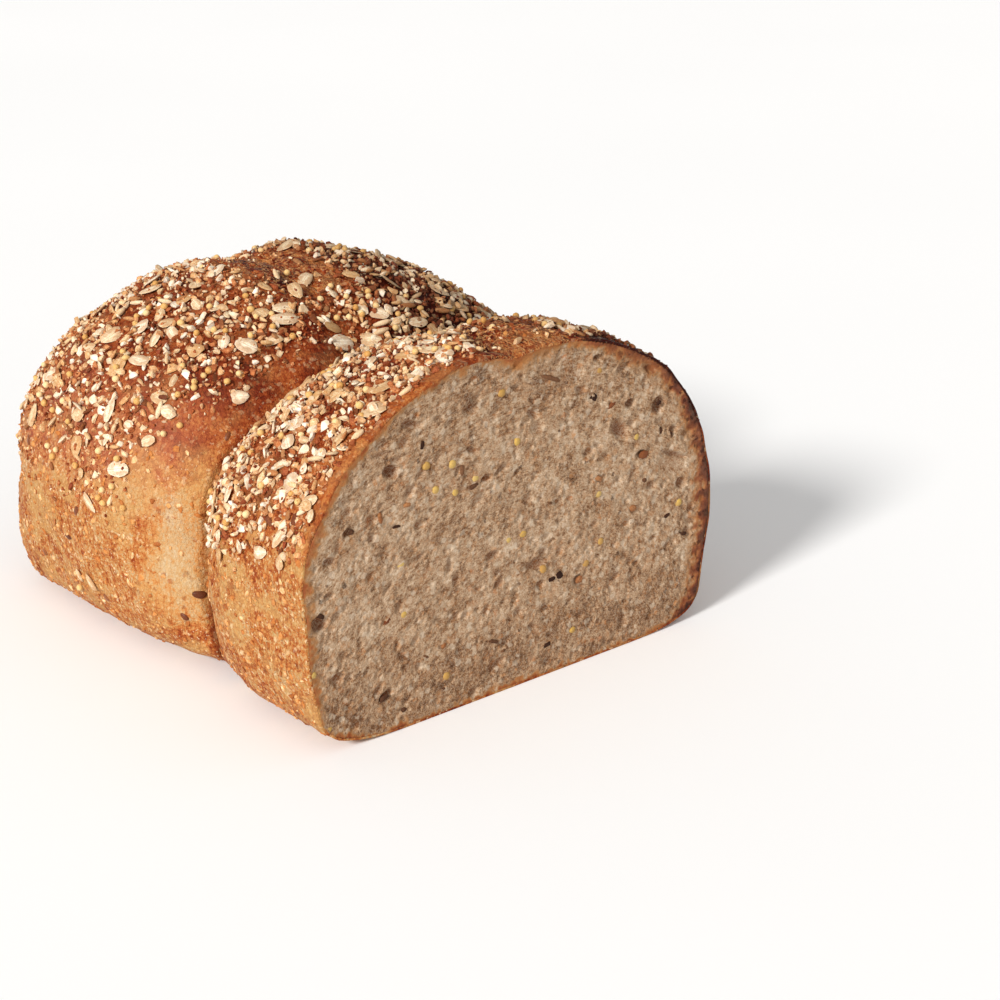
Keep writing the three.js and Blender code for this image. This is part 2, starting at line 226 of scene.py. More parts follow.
# A ball of rings is shaped into the loaf: its rings stand along the loaf, closest at the fold.
ring_x = np.concatenate([
    np.linspace(6.0, -1.4, 5), np.linspace(-2.5, -48.8, 43),
    np.linspace(-49.6, -63.6, 29), np.linspace(-64.6, -104.2, 37),
])
cap_turn = np.linspace(0.0, np.pi / 2.0, 64)[1:-1]
ring_count = len(ring_x) + len(cap_turn) + 1
bpy.ops.object.select_all(action="DESELECT")
bpy.ops.mesh.primitive_uv_sphere_add(segments=CRUST_AROUND, ring_count=ring_count, radius=1.0)
crust = bpy.context.object
crust.name = crust.data.name = "loaf_crust"
ball = read_vectors(crust.data.vertices, "co")
row = np.rint(np.arccos(np.clip(ball[:, 2], -1.0, 1.0)) / np.pi * ring_count).astype(int)
spread = np.maximum(np.hypot(ball[:, 0], ball[:, 1]), 1e-9)
x_of_row = np.concatenate([[ring_x[0]], ring_x, np.full(len(cap_turn) + 1, ring_x[-1])])
turn_of_row = np.concatenate([np.zeros(len(ring_x) + 1), cap_turn, [np.pi / 2.0]])
turn = turn_of_row[row]
direction = np.stack(
    [-np.sin(turn), np.cos(turn) * ball[:, 1] / spread, -np.cos(turn) * ball[:, 0] / spread], axis=1
)
direction[row == 0] = 0.0
origin = np.zeros_like(direction)
origin[:, 0] = x_of_row[row]
origin[:, 1] = BACK_LOBE["y"] * smooth_step(-origin[:, 0], 57.0, 104.2)
origin[:, 2] = SPINE_HEIGHT
write_points(crust.data, crust_points(origin, direction))

# Fine relief of the skin: dents and blisters, torn strands in the slash and a sharp line in the fold.
points = read_points(crust.data)
normals = read_vectors(crust.data.vertex_normals, "vector")
standing = smooth_step(points[:, 2], 0.6, 5.0)
dents = 0.30 * dough_noise(points, 7.0, 1) + 0.20 * dough_noise(points, 3.2, 2)
torn = slash_strength(points)
strands = 1.0 - np.abs(dough_noise(points * np.array([0.5, 1.0, 1.0]), 3.6, 3)) * 2.2
threads = 1.0 - np.abs(dough_noise(points * np.array([0.6, 1.0, 1.0]), 2.0, 6)) * 2.2
tearing = torn * (0.25 + 0.75 * smooth_step(-points[:, 0], 1.0, 7.0)) * (0.7 * strands + 0.5 * threads - 0.4)
fold = seen_fold(points)
fold_line = around(fold, 0.0, 1.1) * (1.0 - 0.6 * smooth_step(points[:, 2], 56.0, 70.0))
lip_height = np.interp(points[:, 2], *zip(*FOLD_LIP))
fold_lip = smooth_step(-fold, 0.2, 4.5) * (1.0 - smooth_step(-fold, 12.0, 34.0))
relief = dents + tearing - 1.6 * fold_line + lip_height * fold_lip
write_points(crust.data, points + normals * (relief * standing)[:, None])

# The knife's cut, and behind its rim a shallow seat for the crumb.
cut_x = ORIGIN[0] * MM
bpy.ops.object.mode_set(mode="EDIT")
bpy.ops.mesh.select_all(action="SELECT")
bpy.ops.mesh.bisect(plane_co=(cut_x, 0, 0), plane_no=(1, 0, 0), use_fill=True, clear_outer=True)
bpy.ops.object.mode_set(mode="OBJECT")
sides = np.array([len(face.vertices) for face in crust.data.polygons])
select_only(crust, sides > 50, "FACE")
bpy.ops.mesh.inset(thickness=RIM_WIDTH * MM, depth=0.0)
bpy.ops.mesh.extrude_region_move(TRANSFORM_OT_translate={"value": (-RECESS_DEPTH * MM, 0, 0)})
sheet = bmesh.from_edit_mesh(crust.data)
for edge in sheet.edges:
    beside = [face.calc_center_median().x for face in edge.link_faces]
    at_cut = all(abs(corner.co.x - cut_x) < 1e-6 for corner in edge.verts)
    edge.select_set(at_cut and any(cut_x - 0.002 < middle < cut_x - 1e-5 for middle in beside))
bmesh.update_edit_mesh(crust.data)
bpy.ops.mesh.bevel(offset=RIM_ROUNDING * MM, segments=2, affect="EDGES")
bpy.ops.object.mode_set(mode="OBJECT")
bpy.ops.object.shade_smooth_by_angle(angle=np.radians(50))

# How far each part of the skin baked, from pale dough at 0 to the darkest brown at 1. Painted shade is
# added to it where the skin turns away from the light and, in part, between the toppings and in the fold.
points = read_points(crust.data)
x, y, z = points.T
fold, torn = seen_fold(points), slash_strength(points)
blotches = dough_noise(points, 12.0, 4) * 0.6 + dough_noise(points, 5.0, 5) * 0.4
bake_and_shade = 0.36 + 0.08 * smooth_step(-z, -22.0, -4.0) + 0.29 * smooth_step(z, 42.0, 80.0)
# Random blotches, and darker where toppings cover the crust: partly its red-brown colour there, partly
# painted shade between the toppings.
bake_and_shade += 0.12 * blotches + 0.12 * topping_cover(points) * smooth_step(-x, 6.0, 30.0)
bake_and_shade += 0.03 * bell((z - 58.0) / 18.0) * (x < -62.0)
# Painted shade: the crown's right side, turned away from the light, is darker.
bake_and_shade += 0.34 * smooth_step(y, 0.0, 22.0) * smooth_step(z, 50.0, 70.0) * (1.0 - 0.7 * torn)
pale_fold = around(fold, 7.0, 9.0) * smooth_step(-z, -58.0, -40.0) * smooth_step(z, 8.0, 24.0)
bake_and_shade -= 0.18 * pale_fold
bake_and_shade += 0.04 * around(fold, 10.0, 12.0) * smooth_step(z, 56.0, 66.0)
left_edge = from_slash(points) + 9.0 - 0.5 * np.clip(-x, 0.0, 27.0) * (x > -50.0)
bake_and_shade += torn * (0.26 * bell(left_edge / 7.0) - 0.01)
bake_and_shade -= 0.04 * smooth_step(x, -5.0, -1.0) * (y < 20.0)
# Painted shade: the skin along the cut's right edge, turned away from the light and seen edge-on, and at its
# upper right.
bake_and_shade += 0.34 * smooth_step(y, 50.0, 62.0) * smooth_step(x, -8.0, -0.5)
bake_and_shade += 0.16 * smooth_step(y, 16.0, 34.0) * smooth_step(z, 58.0, 72.0) * smooth_step(x, -8.0, -0.5)
# In the fold's line a dark band, partly the dough's colour and partly painted shade; on the front lobe's lip
# beside it a painted highlight.
bake_and_shade += 0.30 * around(fold, 0.0, 1.2) - 0.08 * around(fold, -8.0, 3.0) * (z < 60.0)
bake_and_shade = np.where(z < 0.8, 0.5 + 0.1 * blotches, bake_and_shade)
blush = bell((z - 57.0) / 24.0) * smooth_step(-x, 58.0, 72.0) * smooth_step(-y, 6.0, 44.0)
for name, values in (
    ("bake_and_shade", bake_and_shade),
    ("torn", torn),
    # Painted shade in the fold's line, partly the dough's own darker colour, and a painted highlight on the
    # front lobe's lip beside it.
    ("crease", around(fold, 0.0, 1.1) * smooth_step(-z, -76.0, -56.0)),
    ("lip_highlight", around(fold, -8.0, 2.6) * smooth_step(-z, -56.0, -40.0)),
    ("blush", blush),
    ("grainy", (1.0 - 0.65 * smooth_step(z, 46.0, 64.0)) * (1.0 - 0.7 * pale_fold)),
):
    keep_values(crust.data, name, values)


def linear(red, green, blue):
    """A colour as the eye reads it on a screen, 0 to 255, as light."""
    shares = [channel / 255.0 for channel in (red, green, blue)]
    return [s / 12.92 if s < 0.04045 else ((s + 0.055) / 1.055) ** 2.4 for s in shares] + [1.0]


def place(tree, kind, settings, feeds):
    """Adds a node. Each feed is a number or a colour for that input, or the output that it takes."""
    node = tree.nodes.new("ShaderNode" + kind)
    for name, value in settings.items():
        setattr(node, name, value)
    for name, value in feeds.items():
        if isinstance(value, bpy.types.NodeSocket):
            tree.links.new(value, node.inputs[name])
        else:
            node.inputs[name].default_value = value
    return node


def reckon(tree, operation, first, second=0.0, third=0.0):
    """The outcome of a sum on one, two or three numbers."""
    return place(tree, "Math", {"operation": operation}, {0: first, 1: second, 2: third}).outputs[0]


def times(tree, first, second):
    """Two numbers multiplied."""
    return reckon(tree, "MULTIPLY", first, second)


def swing(tree, value):
    """A number from 0 to 1 as one from -0.5 to 0.5."""
    return reckon(tree, "SUBTRACT", value, 0.5)


def add_layers(tree, start, layers):
    """A number with others added to it, each times its weight."""
    for layer, weight in layers:
        start = reckon(tree, "MULTIPLY_ADD", layer, weight, start)
    return start


def fade(tree, value, low, high, start=0.0, end=1.0):
    """A number that goes smoothly from start to end as a value goes from low to high."""
    feeds = {"Value": value, "From Min": low, "From Max": high, "To Min": start, "To Max": end}
    return place(tree, "MapRange", {"interpolation_type": "SMOOTHSTEP"}, feeds).outputs[0]


def blend_colors(tree, share, first, second):
    """One colour laid over another by a share."""
    settings = {"data_type": "RGBA", "blend_type": "MIX", "clamp_factor": True}
    return place(tree, "Mix", settings, {0: share, 6: first, 7: second}).outputs[2]


def paint(tree, color, share, over):
    """Lays a colour, as the eye reads it, over another by a share."""
    return blend_colors(tree, share, color, linear(*over))


def between_stops(tree, value, stops):
    """A colour read off a scale of colours."""
    node = place(tree, "ValToRGB", {}, {0: value})
    scale = node.color_ramp.elements
    while len(scale) < len(stops):
        scale.new(0.5)
    for mark, (position, color) in zip(scale, stops):
        mark.position, mark.color = position, linear(*color)
    return node.outputs[0]


def lumpy(tree, where, pitch_mm, detail=2.0, stretch=None):
    """Random lumps from 0 to 1, about one to each pitch."""
    if stretch is not None:
        where = place(tree, "VectorMath", {"operation": "MULTIPLY"}, {0: where, 1: stretch}).outputs[0]
    feeds = {"Vector": where, "Scale": 1000.0 / pitch_mm, "Detail": detail, "Roughness": 0.6}
    return place(tree, "TexNoise", {}, feeds).outputs[0]


def new_effect(name, inputs, outputs):
    """An empty shader node group with the named inputs and outputs."""
    group = bpy.data.node_groups.new(name, "ShaderNodeTree")
    for label, kind in inputs:
        group.interface.new_socket(label, in_out="INPUT", socket_type=kind)
    for label, kind in outputs:
        group.interface.new_socket(label, in_out="OUTPUT", socket_type=kind)
    return group, group.nodes.new("NodeGroupInput"), group.nodes.new("NodeGroupOutput")


# Flecks of bran and flour: spots in some cells of a pattern, each with a tone of its own.
flecks, given, given_back = new_effect(
    "flecks",
    [("Vector", "NodeSocketVector"), ("Scale", "NodeSocketFloat"), ("Size", "NodeSocketFloat"),
     ("Share", "NodeSocketFloat")],
    [("Mask", "NodeSocketFloat"), ("Tone", "NodeSocketFloat")],
)
bent = place(flecks, "TexNoise", {}, {"Vector": given.outputs["Vector"], "Scale": 1000.0, "Detail": 2.0})
shift = place(flecks, "VectorMath", {"operation": "MULTIPLY_ADD"},
              {0: bent.outputs[1], 1: (0.0017, 0.0017, 0.0017), 2: given.outputs["Vector"]})
cells = place(flecks, "TexVoronoi", {},
              {"Vector": shift.outputs[0], "Scale": given.outputs["Scale"], "Randomness": 1.0})
cell_tones = place(flecks, "SeparateColor", {}, {0: cells.outputs["Color"]})
picked = reckon(flecks, "LESS_THAN", cell_tones.outputs[0], given.outputs["Share"])
spot_size = reckon(flecks, "MULTIPLY_ADD", cell_tones.outputs[1], 0.7, 0.3)
spot_size = times(flecks, given.outputs["Size"], spot_size)
spot = fade(flecks, cells.outputs["Distance"], times(flecks, spot_size, 0.7), spot_size, 1.0, 0.0)
flecks.links.new(times(flecks, picked, spot), given_back.inputs["Mask"])
flecks.links.new(cell_tones.outputs[2], given_back.inputs["Tone"])


def fleck_mask(tree, where, cell_mm, size, share):
    """Places the flecks effect and gives its mask and tones."""
    node = place(tree, "Group", {"node_tree": flecks},
                 {"Vector": where, "Scale": 1000.0 / cell_mm, "Size": size, "Share": share})
    return node.outputs["Mask"], node.outputs["Tone"]


def add_flecks(tree, where, color, held, layers):
    """Lays flecks over a colour: cell in mm, size, share of the cells, strength, dark and light tone."""
    for cell_mm, size, share, strength, dark_tone, light_tone in layers:
        mask, tones = fleck_mask(tree, where, cell_mm, size, share)
        fleck = blend_colors(tree, tones, linear(*dark_tone), linear(*light_tone))
        color = blend_colors(tree, times(tree, mask, times(tree, held, strength)), color, fleck)
    return color


def web_mask(tree, where, pitch_mm, width, stretch=None):
    """Thin curling lines, where random lumps pass through their middle value."""
    from_middle = reckon(tree, "ABSOLUTE", swing(tree, lumpy(tree, where, pitch_mm, 2.0, stretch)))
    return fade(tree, from_middle, 0.0, width, 1.0, 0.0)


def bread_material(name, constants):
    """A new material with its shader, and the places that its patterns read."""
    material = bpy.data.materials.new(name)
    material.use_nodes = True
    tree = material.node_tree
    tree.nodes.clear()
    shader = place(tree, "BsdfPrincipled", {}, constants)
    output = tree.nodes.new("ShaderNodeOutputMaterial")
    tree.links.new(shader.outputs[0], output.inputs[0])
    return material, tree, shader, place(tree, "TexCoord", {}, {}).outputs["Object"]


def read_value(tree, name):
    """A number that the piece's mesh stores."""
    return place(tree, "Attribute", {"attribute_name": name}, {}).outputs["Fac"]


def finish_surface(tree, shader, color, height, strength, depth_mm):
    """Gives a material's shader its colour and a skin that is bumpy to a depth."""
    tree.links.new(color, shader.inputs["Base Color"])
    bump = place(tree, "Bump", {}, {"Strength": strength, "Distance": depth_mm * MM, "Height": height})
    tree.links.new(bump.outputs[0], shader.inputs["Normal"])


crust_material, tree, shader, where = bread_material("baked crust", {"IOR": 1.45, "Specular IOR Level": 0.06})
# The bake value read here carries the painted shade and highlight laid into it above.
baked, torn_here, rougher = (read_value(tree, name) for name in ("bake_and_shade", "torn", "grainy"))
grainy, fine = lumpy(tree, where, 0.42), lumpy(tree, where, 0.95, 3.0)
coarse, patches = lumpy(tree, where, 3.4), lumpy(tree, where, 9.0, 1.0)
streaks = lumpy(tree, where, 1.3, 2.0, (1.0, 1.0, 0.3))
granules = place(tree, "TexVoronoi", {}, {"Vector": where, "Scale": 1050.0, "Randomness": 1.0})
granule_tone = place(tree, "SeparateColor", {}, {0: granules.outputs["Color"]}).outputs[0]
crackle = web_mask(tree, where, 1.6, 0.045, (1.0, 1.0, 0.55))
strand = times(tree, swing(tree, lumpy(tree, where, 1.5, 3.0, (0.5, 1.0, 1.0))), torn_here)
tone = 0.0
for lumps, weight in ((grainy, 0.55), (fine, 0.6), (coarse, 0.4), (streaks, 0.55),
                      (granule_tone, 0.12), (granules.outputs["Distance"], 0.26)):
    tone = add_layers(tree, tone, [(swing(tree, lumps), weight)])
tone = reckon(tree, "MULTIPLY_ADD", tone, reckon(tree, "MULTIPLY_ADD", rougher, 0.75, 0.3), baked)
tone = add_layers(tree, tone, [(swing(tree, patches), 0.40), (crackle, 0.08), (strand, 1.3)])
color = between_stops(tree, tone, [
    (0.0, (190, 166, 132)), (0.16, (186, 150, 106)), (0.32, (188, 129, 72)), (0.48, (168, 94, 46)),
    (0.64, (138, 60, 26)), (0.80, (102, 33, 13)), (1.0, (54, 13, 6)),
])
color = add_flecks(tree, where, color, rougher, [(1.5, 0.62, 0.30, 0.6, (206, 152, 94), (232, 204, 162))])
color = add_flecks(tree, where, color, 1.0, [(1.9, 0.60, 0.24, 0.5, (92, 34, 16), (158, 76, 34))])
color = add_flecks(tree, where, color, rougher, [
    (0.9, 0.52, 0.34, 0.68, (212, 172, 118), (234, 214, 178)),
    (1.1, 0.44, 0.24, 0.62, (134, 58, 30), (172, 94, 54)),
    (1.7, 0.50, 0.22, 0.40, (178, 146, 88), (202, 172, 116)),
])
# Straw patches, kept off the darkest parts, where baking and painted shade are deepest.
straw = fade(tree, lumpy(tree, where, 13.0), 0.46, 0.62, 0.0, times(tree, rougher, 0.5))
below_darkest = fade(tree, baked, 0.6, 0.85, 1.0, 0.0)
fibres = times(tree, web_mask(tree, where, 1.5, 0.05, (0.6, 1.0, 1.0)), torn_here)
for mask, strength, over in (
    (read_value(tree, "blush"), 0.30, (190, 122, 96)),
    (straw, below_darkest, (194, 154, 96)),
    (fibres, 0.7, (228, 164, 104)),
    # A painted highlight on the front lobe's lip, and in the fold's line painted shade, partly dark dough.
    (read_value(tree, "lip_highlight"), 0.45, (236, 208, 160)),
    (read_value(tree, "crease"), 0.85, (84, 42, 20)),
):
    color = paint(tree, color, times(tree, mask, strength), over)
height = reckon(tree, "ADD", grainy, fine)
height = add_layers(tree, height, [(coarse, 1.4), (crackle, -0.35), (granules.outputs["Distance"], -0.6)])
height = times(tree, height, reckon(tree, "MULTIPLY_ADD", rougher, 0.6, 0.4))
height = add_layers(tree, height, [(strand, 3.0), (fibres, 1.1)])
finish_surface(tree, shader, color, height, 0.7, 0.6)
rough = place(tree, "MapRange", {}, {"Value": reckon(tree, "ADD", fine, baked), "From Min": 0.7,
                                     "From Max": 1.4, "To Min": 0.56, "To Max": 0.34})
tree.links.new(rough.outputs[0], shader.inputs["Roughness"])
crust.data.materials.append(crust_material)
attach(crust, "root")
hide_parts("loaf")

# ---- Crumb -------------------------------------------------------------------------------------
# The moist grey-tan inside that the knife laid open: a slab behind the rim of the crust, with the
# pores that the dough's gas left, small ones all over and large ones near the crown and the sides.
CRUMB_WIDE, CRUMB_HIGH, CRUMB_PITCH = 140.0, 92.0, 0.37
CRUMB_MARGIN, CRUMB_BACK, CRUMB_SUNK = 0.32, -5.2, 0.14
ARCS_BELOW = 25.0  # the dough rose in arcs about a point this far below the foot
# Large pores as they lie on the face: across and up in mm, half length and width, turn in degrees, depth.
LARGE_PORES = [
    (-34.4, 78.2, 3.1, 1.2, -10, 1.5), (-40.5, 67.8, 2.7, 1.6, -8, 2.2), (-43.0, 75.2, 2.6, 1.3, 0, 0.8),
    (-43.6, 72.6, 2.6, 1.3, -5, 0.9), (-38.8, 70.3, 2.1, 0.9, 0, 0.8), (-15.8, 78.4, 3.2, 1.1, 8, 1.3),
    (-14.0, 80.4, 2.0, 0.8, 0, 0.8), (-15.4, 67.4, 2.1, 0.9, -15, 1.2), (-54.5, 63.7, 1.4, 1.4, 0, 0.9),
    (-35.0, 61.4, 2.1, 1.8, 0, 0.9), (-46.4, 52.4, 1.5, 1.3, 0, 1.0), (-59.0, 49.8, 2.1, 1.3, 0, 1.3),
    (-53.5, 55.6, 1.5, 1.3, 0, 1.6), (-62.6, 35.0, 2.7, 2.3, 0, 2.6), (-43.2, 10.4, 2.2, 1.4, 20, 1.8),
    (-23.0, 39.4, 2.4, 1.1, 80, 1.1), (-9.0, 38.2, 2.7, 1.3, 5, 1.3), (-13.4, 54.4, 3.3, 1.7, 25, 0.9),
    (-11.0, 59.3, 1.7, 1.0, 10, 1.8), (-6.0, 60.4, 2.7, 0.9, 22, 1.2), (17.4, 82.0, 5.4, 4.6, 0, 0.6),
    (26.0, 82.7, 1.6, 1.0, 0, 2.2), (35.0, 78.2, 3.1, 1.3, 12, 1.2), (37.8, 68.0, 2.0, 1.3, 0, 2.2),
    (48.4, 65.2, 2.2, 2.6, 0, 2.8), (34.2, 61.8, 4.4, 2.6, -42, 1.5), (43.0, 52.8, 3.1, 1.7, -15, 1.3),
    (54.0, 47.2, 6.6, 3.0, -22, 0.7), (54.6, 50.2, 5.2, 0.8, -22, 1.5), (57.6, 41.6, 2.2, 1.7, 0, 1.6),
    (54.0, 57.2, 1.3, 1.6, 0, 1.6), (49.2, 58.0, 0.6, 1.1, 0, 1.4), (5.6, 68.8, 2.5, 2.0, 20, 0.9),
    (27.5, 49.8, 1.8, 0.9, -30, 1.3),
    (29.0, 55.4, 2.1, 1.4, 0, 0.8), (37.2, 35.0, 2.1, 1.3, 0, 1.0), (5.8, 32.0, 4.8, 1.6, 5, 1.2),
    (7.2, 26.0, 1.7, 1.3, 0, 1.2), (20.2, 23.4, 2.1, 1.8, 0, 1.1), (-2.0, 24.0, 1.6, 1.0, 20, 0.8),
    (-29.0, 66.5, 2.0, 1.2, 10, 0.8), (-26.0, 86.0, 2.2, 0.9, 5, 1.0), (-47.5, 43.0, 1.9, 1.2, 30, 0.9),
    (-32.0, 43.8, 2.0, 1.0, 20, 1.0), (-38.5, 33.0, 2.4, 1.2, 60, 1.0), (-56.0, 25.0, 1.7, 1.2, 45, 0.8),
    (44.5, 76.5, 3.2, 1.4, -30, 1.2), (58.5, 55.0, 1.5, 2.0, 0, 1.1), (61.5, 33.5, 1.6, 2.1, 0, 1.0),
    (47.5, 28.0, 1.5, 1.0, 0, 0.8), (33.5, 20.5, 1.9, 1.0, 20, 0.8), (-18.0, 24.5, 1.9, 0.9, 15, 0.8),
]
bpy.ops.object.select_all(action="DESELECT")
columns, rows = int(CRUMB_WIDE / CRUMB_PITCH) + 1, int(CRUMB_HIGH / CRUMB_PITCH) + 1
bpy.ops.mesh.primitive_grid_add(x_subdivisions=columns - 1, y_subdivisions=rows - 1)
crumb = bpy.context.object
crumb.name = crumb.data.name = "loaf_crumb"
flat = read_vectors(crumb.data.vertices, "co")
across, up = flat[:, 0] * (CRUMB_WIDE / 2.0), (flat[:, 1] + 1.0) * (CRUMB_HIGH / 2.0)
face = np.stack([np.zeros_like(across), across, up], axis=1)
edge = -loaf_distance(face)
chance = np.random.default_rng(21)


def grain_turn(y, z, chance):
    """Which way the pores lie: along the arcs that the rising dough stretched, more or less."""
    return np.degrees(np.arctan2(-y, z + ARCS_BELOW)) + chance.normal(0.0, 32.0)


pits = list(LARGE_PORES)
for count, low, high, deep in ((280, 0.8, 1.9, 0.6), (800, 0.5, 1.0, 0.75), (3400, 0.34, 0.58, 0.65)):
    for _ in range(count):
        y, z = chance.uniform(-CRUMB_WIDE / 2.0, CRUMB_WIDE / 2.0), chance.uniform(1.0, CRUMB_HIGH)
        size = low + (high - low) * chance.random() ** 2.2
        stretch = chance.uniform(1.0, 2.3)
        depth = size * deep * chance.uniform(0.45, 1.25)
        pits.append((y, z, size * stretch**0.5, size / stretch**0.5, grain_turn(y, z, chance), depth))
pore = np.zeros(len(across))
order = np.lexsort((across, up))
grid_y, grid_z = across[order].reshape(rows, columns), up[order].reshape(rows, columns)
grid_pore = np.zeros((rows, columns))
wobble = np.stack([dough_noise(np.stack([np.full_like(grid_y, at), grid_y, grid_z], -1), 2.0, 30 + at)
                   for at in (0, 1)]) * 0.35
step_y, step_z = grid_y[0, 1] - grid_y[0, 0], grid_z[1, 0] - grid_z[0, 0]
for y, z, half_long, half_wide, angle, depth in pits:
    reach = half_long * 1.5 + 0.8
    from_left = y + CRUMB_WIDE / 2.0
    left, right = int((from_left - reach) / step_y), int((from_left + reach) / step_y) + 2
    low, high = int((z - reach) / step_z), int((z + reach) / step_z) + 2
    window = (slice(max(low, 0), max(high, 0)), slice(max(left, 0), max(right, 0)))
    by = grid_y[window] - y + wobble[0][window] * min(1.7, half_wide)
    bz = grid_z[window] - z + wobble[1][window] * min(1.7, half_wide)
    turn = np.radians(angle)
    along = (by * np.cos(turn) + bz * np.sin(turn)) / half_long
    wide = (bz * np.cos(turn) - by * np.sin(turn)) / half_wide
    steep = 0.5 if half_wide < 0.9 else 0.85
    bowl = depth * np.maximum(1.0 - along**2 - wide**2, 0.0) ** steep
    grid_pore[window] = np.maximum(grid_pore[window], bowl)
pore[order] = grid_pore.ravel()
pore *= smooth_step(edge, 0.9, 2.6)
rough_face = (0.07 * dough_noise(face, 0.9, 43) + 0.07 * dough_noise(face, 1.7, 40)
              + 0.12 * dough_noise(face, 3.4, 41) + 0.18 * dough_noise(face, 11.0, 42))
sunk = (CRUMB_SUNK + 0.08) * smooth_step(edge, 0.5, 2.0)
surface = -0.04 - sunk - pore + rough_face * smooth_step(edge, 0.3, 2.0)
write_points(crumb.data, np.stack([np.minimum(surface, -0.02), across, up], axis=1))
select_only(crumb, edge < CRUMB_MARGIN, "VERT")
bpy.ops.mesh.delete(type="VERT")
bpy.ops.mesh.select_all(action="SELECT")
bpy.ops.mesh.region_to_loop()
bpy.ops.mesh.extrude_region_move(TRANSFORM_OT_translate={"value": (-0.004, 0, 0)})
bpy.ops.mesh.edge_face_add()
bpy.ops.object.mode_set(mode="OBJECT")
points = read_points(crumb.data)
behind = points[:, 0] < -3.9
points[behind, 0] = CRUMB_BACK
write_points(crumb.data, points)
edge = -loaf_distance(points * np.array([0.0, 1.0, 1.0]))
flat_face = -CRUMB_SUNK - 0.12 + rough_face.mean()
turn = np.arctan2(points[:, 1], points[:, 2] + ARCS_BELOW)
reach = np.hypot(points[:, 1], points[:, 2] + ARCS_BELOW)
swirl = np.stack([points[:, 0], turn * 75.0, reach * 2.4], axis=1) * MM
keep_values(crumb.data, "swirl", swirl)
keep_values(crumb.data, "pore", np.where(behind, 0.0, np.maximum(flat_face - points[:, 0], 0.0)))

# How far the oven's heat went in from the rim: thin and golden at the left, thick and dark at the right,
# where the dark is partly toast and partly painted shade for the side turned away from the light.
y, z = points[:, 1], points[:, 2]
right_side, top_middle = smooth_step(y, 48.0, 64.0), bell((y - 2.0) / 17.0) * smooth_step(z, 74.0, 84.0)
top_right = smooth_step(y, 18.0, 34.0) * smooth_step(z, 56.0, 70.0)
foot = smooth_step(-z, -16.0, -5.0)
toast_reach = 2.0 + 1.9 * right_side + 1.1 * top_right * (1.0 - right_side) + 1.8 * top_middle - 0.8 * foot
dark_rim = np.clip(0.95 * right_side + 0.7 * top_right + 0.25 * foot, 0.0, 1.0)
ragged = 1.0 * dough_noise(points, 3.0, 44) + 0.9 * dough_noise(points, 1.0, 45)
keep_values(crumb.data, "toast", 1.0 - np.clip((edge + ragged) / toast_reach, 0.0, 1.6) / 1.6)
keep_values(crumb.data, "dark", dark_rim)
keep_values(crumb.data, "shade", 0.13 * smooth_step(-z, -28.0, -6.0) + 0.05 * smooth_step(z, 60.0, 80.0))
bpy.ops.object.shade_smooth()

crumb_material, tree, shader, where = bread_material(
    "open crumb", {"Roughness": 0.8, "IOR": 1.4, "Specular IOR Level": 0.25})
pore_depth, toasted, dark_rim = (read_value(tree, name) for name in ("pore", "toast", "dark"))
along_arcs = place(tree, "Attribute", {"attribute_name": "swirl"}, {}).outputs["Vector"]
tone = reckon(tree, "SUBTRACT", 0.46, read_value(tree, "shade"))
for source, pitch, weight in (
    (where, 0.4, 0.7), (along_arcs, 0.9, 0.55), (along_arcs, 2.6, 0.6), (where, 3.6, 0.6), (where, 9.0, 0.5),
):
    tone = add_layers(tree, tone, [(swing(tree, lumpy(tree, source, pitch)), weight)])
color = between_stops(tree, tone, [
    (0.20, (108, 72, 46)), (0.36, (148, 110, 77)), (0.48, (174, 140, 108)), (0.60, (191, 161, 131)),
    (0.80, (214, 192, 166)),
])
color = add_flecks(tree, where, color, 1.0, [
    (1.7, 0.72, 0.36, 0.40, (150, 98, 60), (196, 142, 94)),
    (2.6, 0.60, 0.24, 0.50, (184, 108, 56), (208, 142, 84)),
    (1.0, 0.62, 0.28, 0.36, (116, 82, 54), (150, 112, 78)),
    (2.3, 0.46, 0.26, 0.85, (66, 40, 26), (108, 72, 46)),
    (1.9, 0.60, 0.28, 0.40, (210, 190, 164), (222, 206, 184)),
])
# Painted shade inside the pores, darker the deeper they go.
color = paint(tree, color, fade(tree, pore_depth, 0.08, 1.7, 0.0, 0.82), (116, 66, 36))
webs = reckon(tree, "MAXIMUM", web_mask(tree, where, 1.3, 0.04), web_mask(tree, along_arcs, 3.0, 0.03))
color = paint(tree, color, times(tree, webs, 0.34), (220, 198, 170))
golden = between_stops(tree, toasted, [
    (0.0, (168, 134, 104)), (0.35, (168, 126, 86)), (0.6, (170, 112, 62)), (0.85, (164, 92, 44)),
    (1.0, (150, 74, 32)),
])
# The rim's darkest colours, used where it is dark: toast with painted shade on the right side.
shaded = between_stops(tree, toasted, [
    (0.0, (176, 142, 110)), (0.35, (164, 108, 66)), (0.6, (126, 62, 34)), (0.85, (84, 34, 20)),
    (1.0, (50, 20, 13)),
])
patchy = reckon(tree, "MULTIPLY_ADD", toasted, 0.55, lumpy(tree, where, 2.4, 3.0))
patchy = fade(tree, patchy, 0.66, 0.92, 0.15, 1.0)
rim_color = blend_colors(tree, times(tree, dark_rim, patchy), golden, shaded)
spotted = add_layers(tree, toasted, [(swing(tree, lumpy(tree, where, 0.8)), 1.2)])
rim_share = fade(tree, spotted, 0.08, 0.55, 0.0, 0.92)
color = blend_colors(tree, rim_share, color, rim_color)
charred, tones = fleck_mask(tree, where, 1.5, 0.66, 0.55)
charred = times(tree, charred, times(tree, dark_rim, rim_share))
color = paint(tree, color, times(tree, charred, 0.8), (52, 20, 12))
height = add_layers(tree, lumpy(tree, where, 0.9, 4.0), [(webs, 0.25)])
finish_surface(tree, shader, color, height, 0.55, 0.6)
crumb.data.materials.append(crumb_material)
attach(crumb, "root")
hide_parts("loaf")

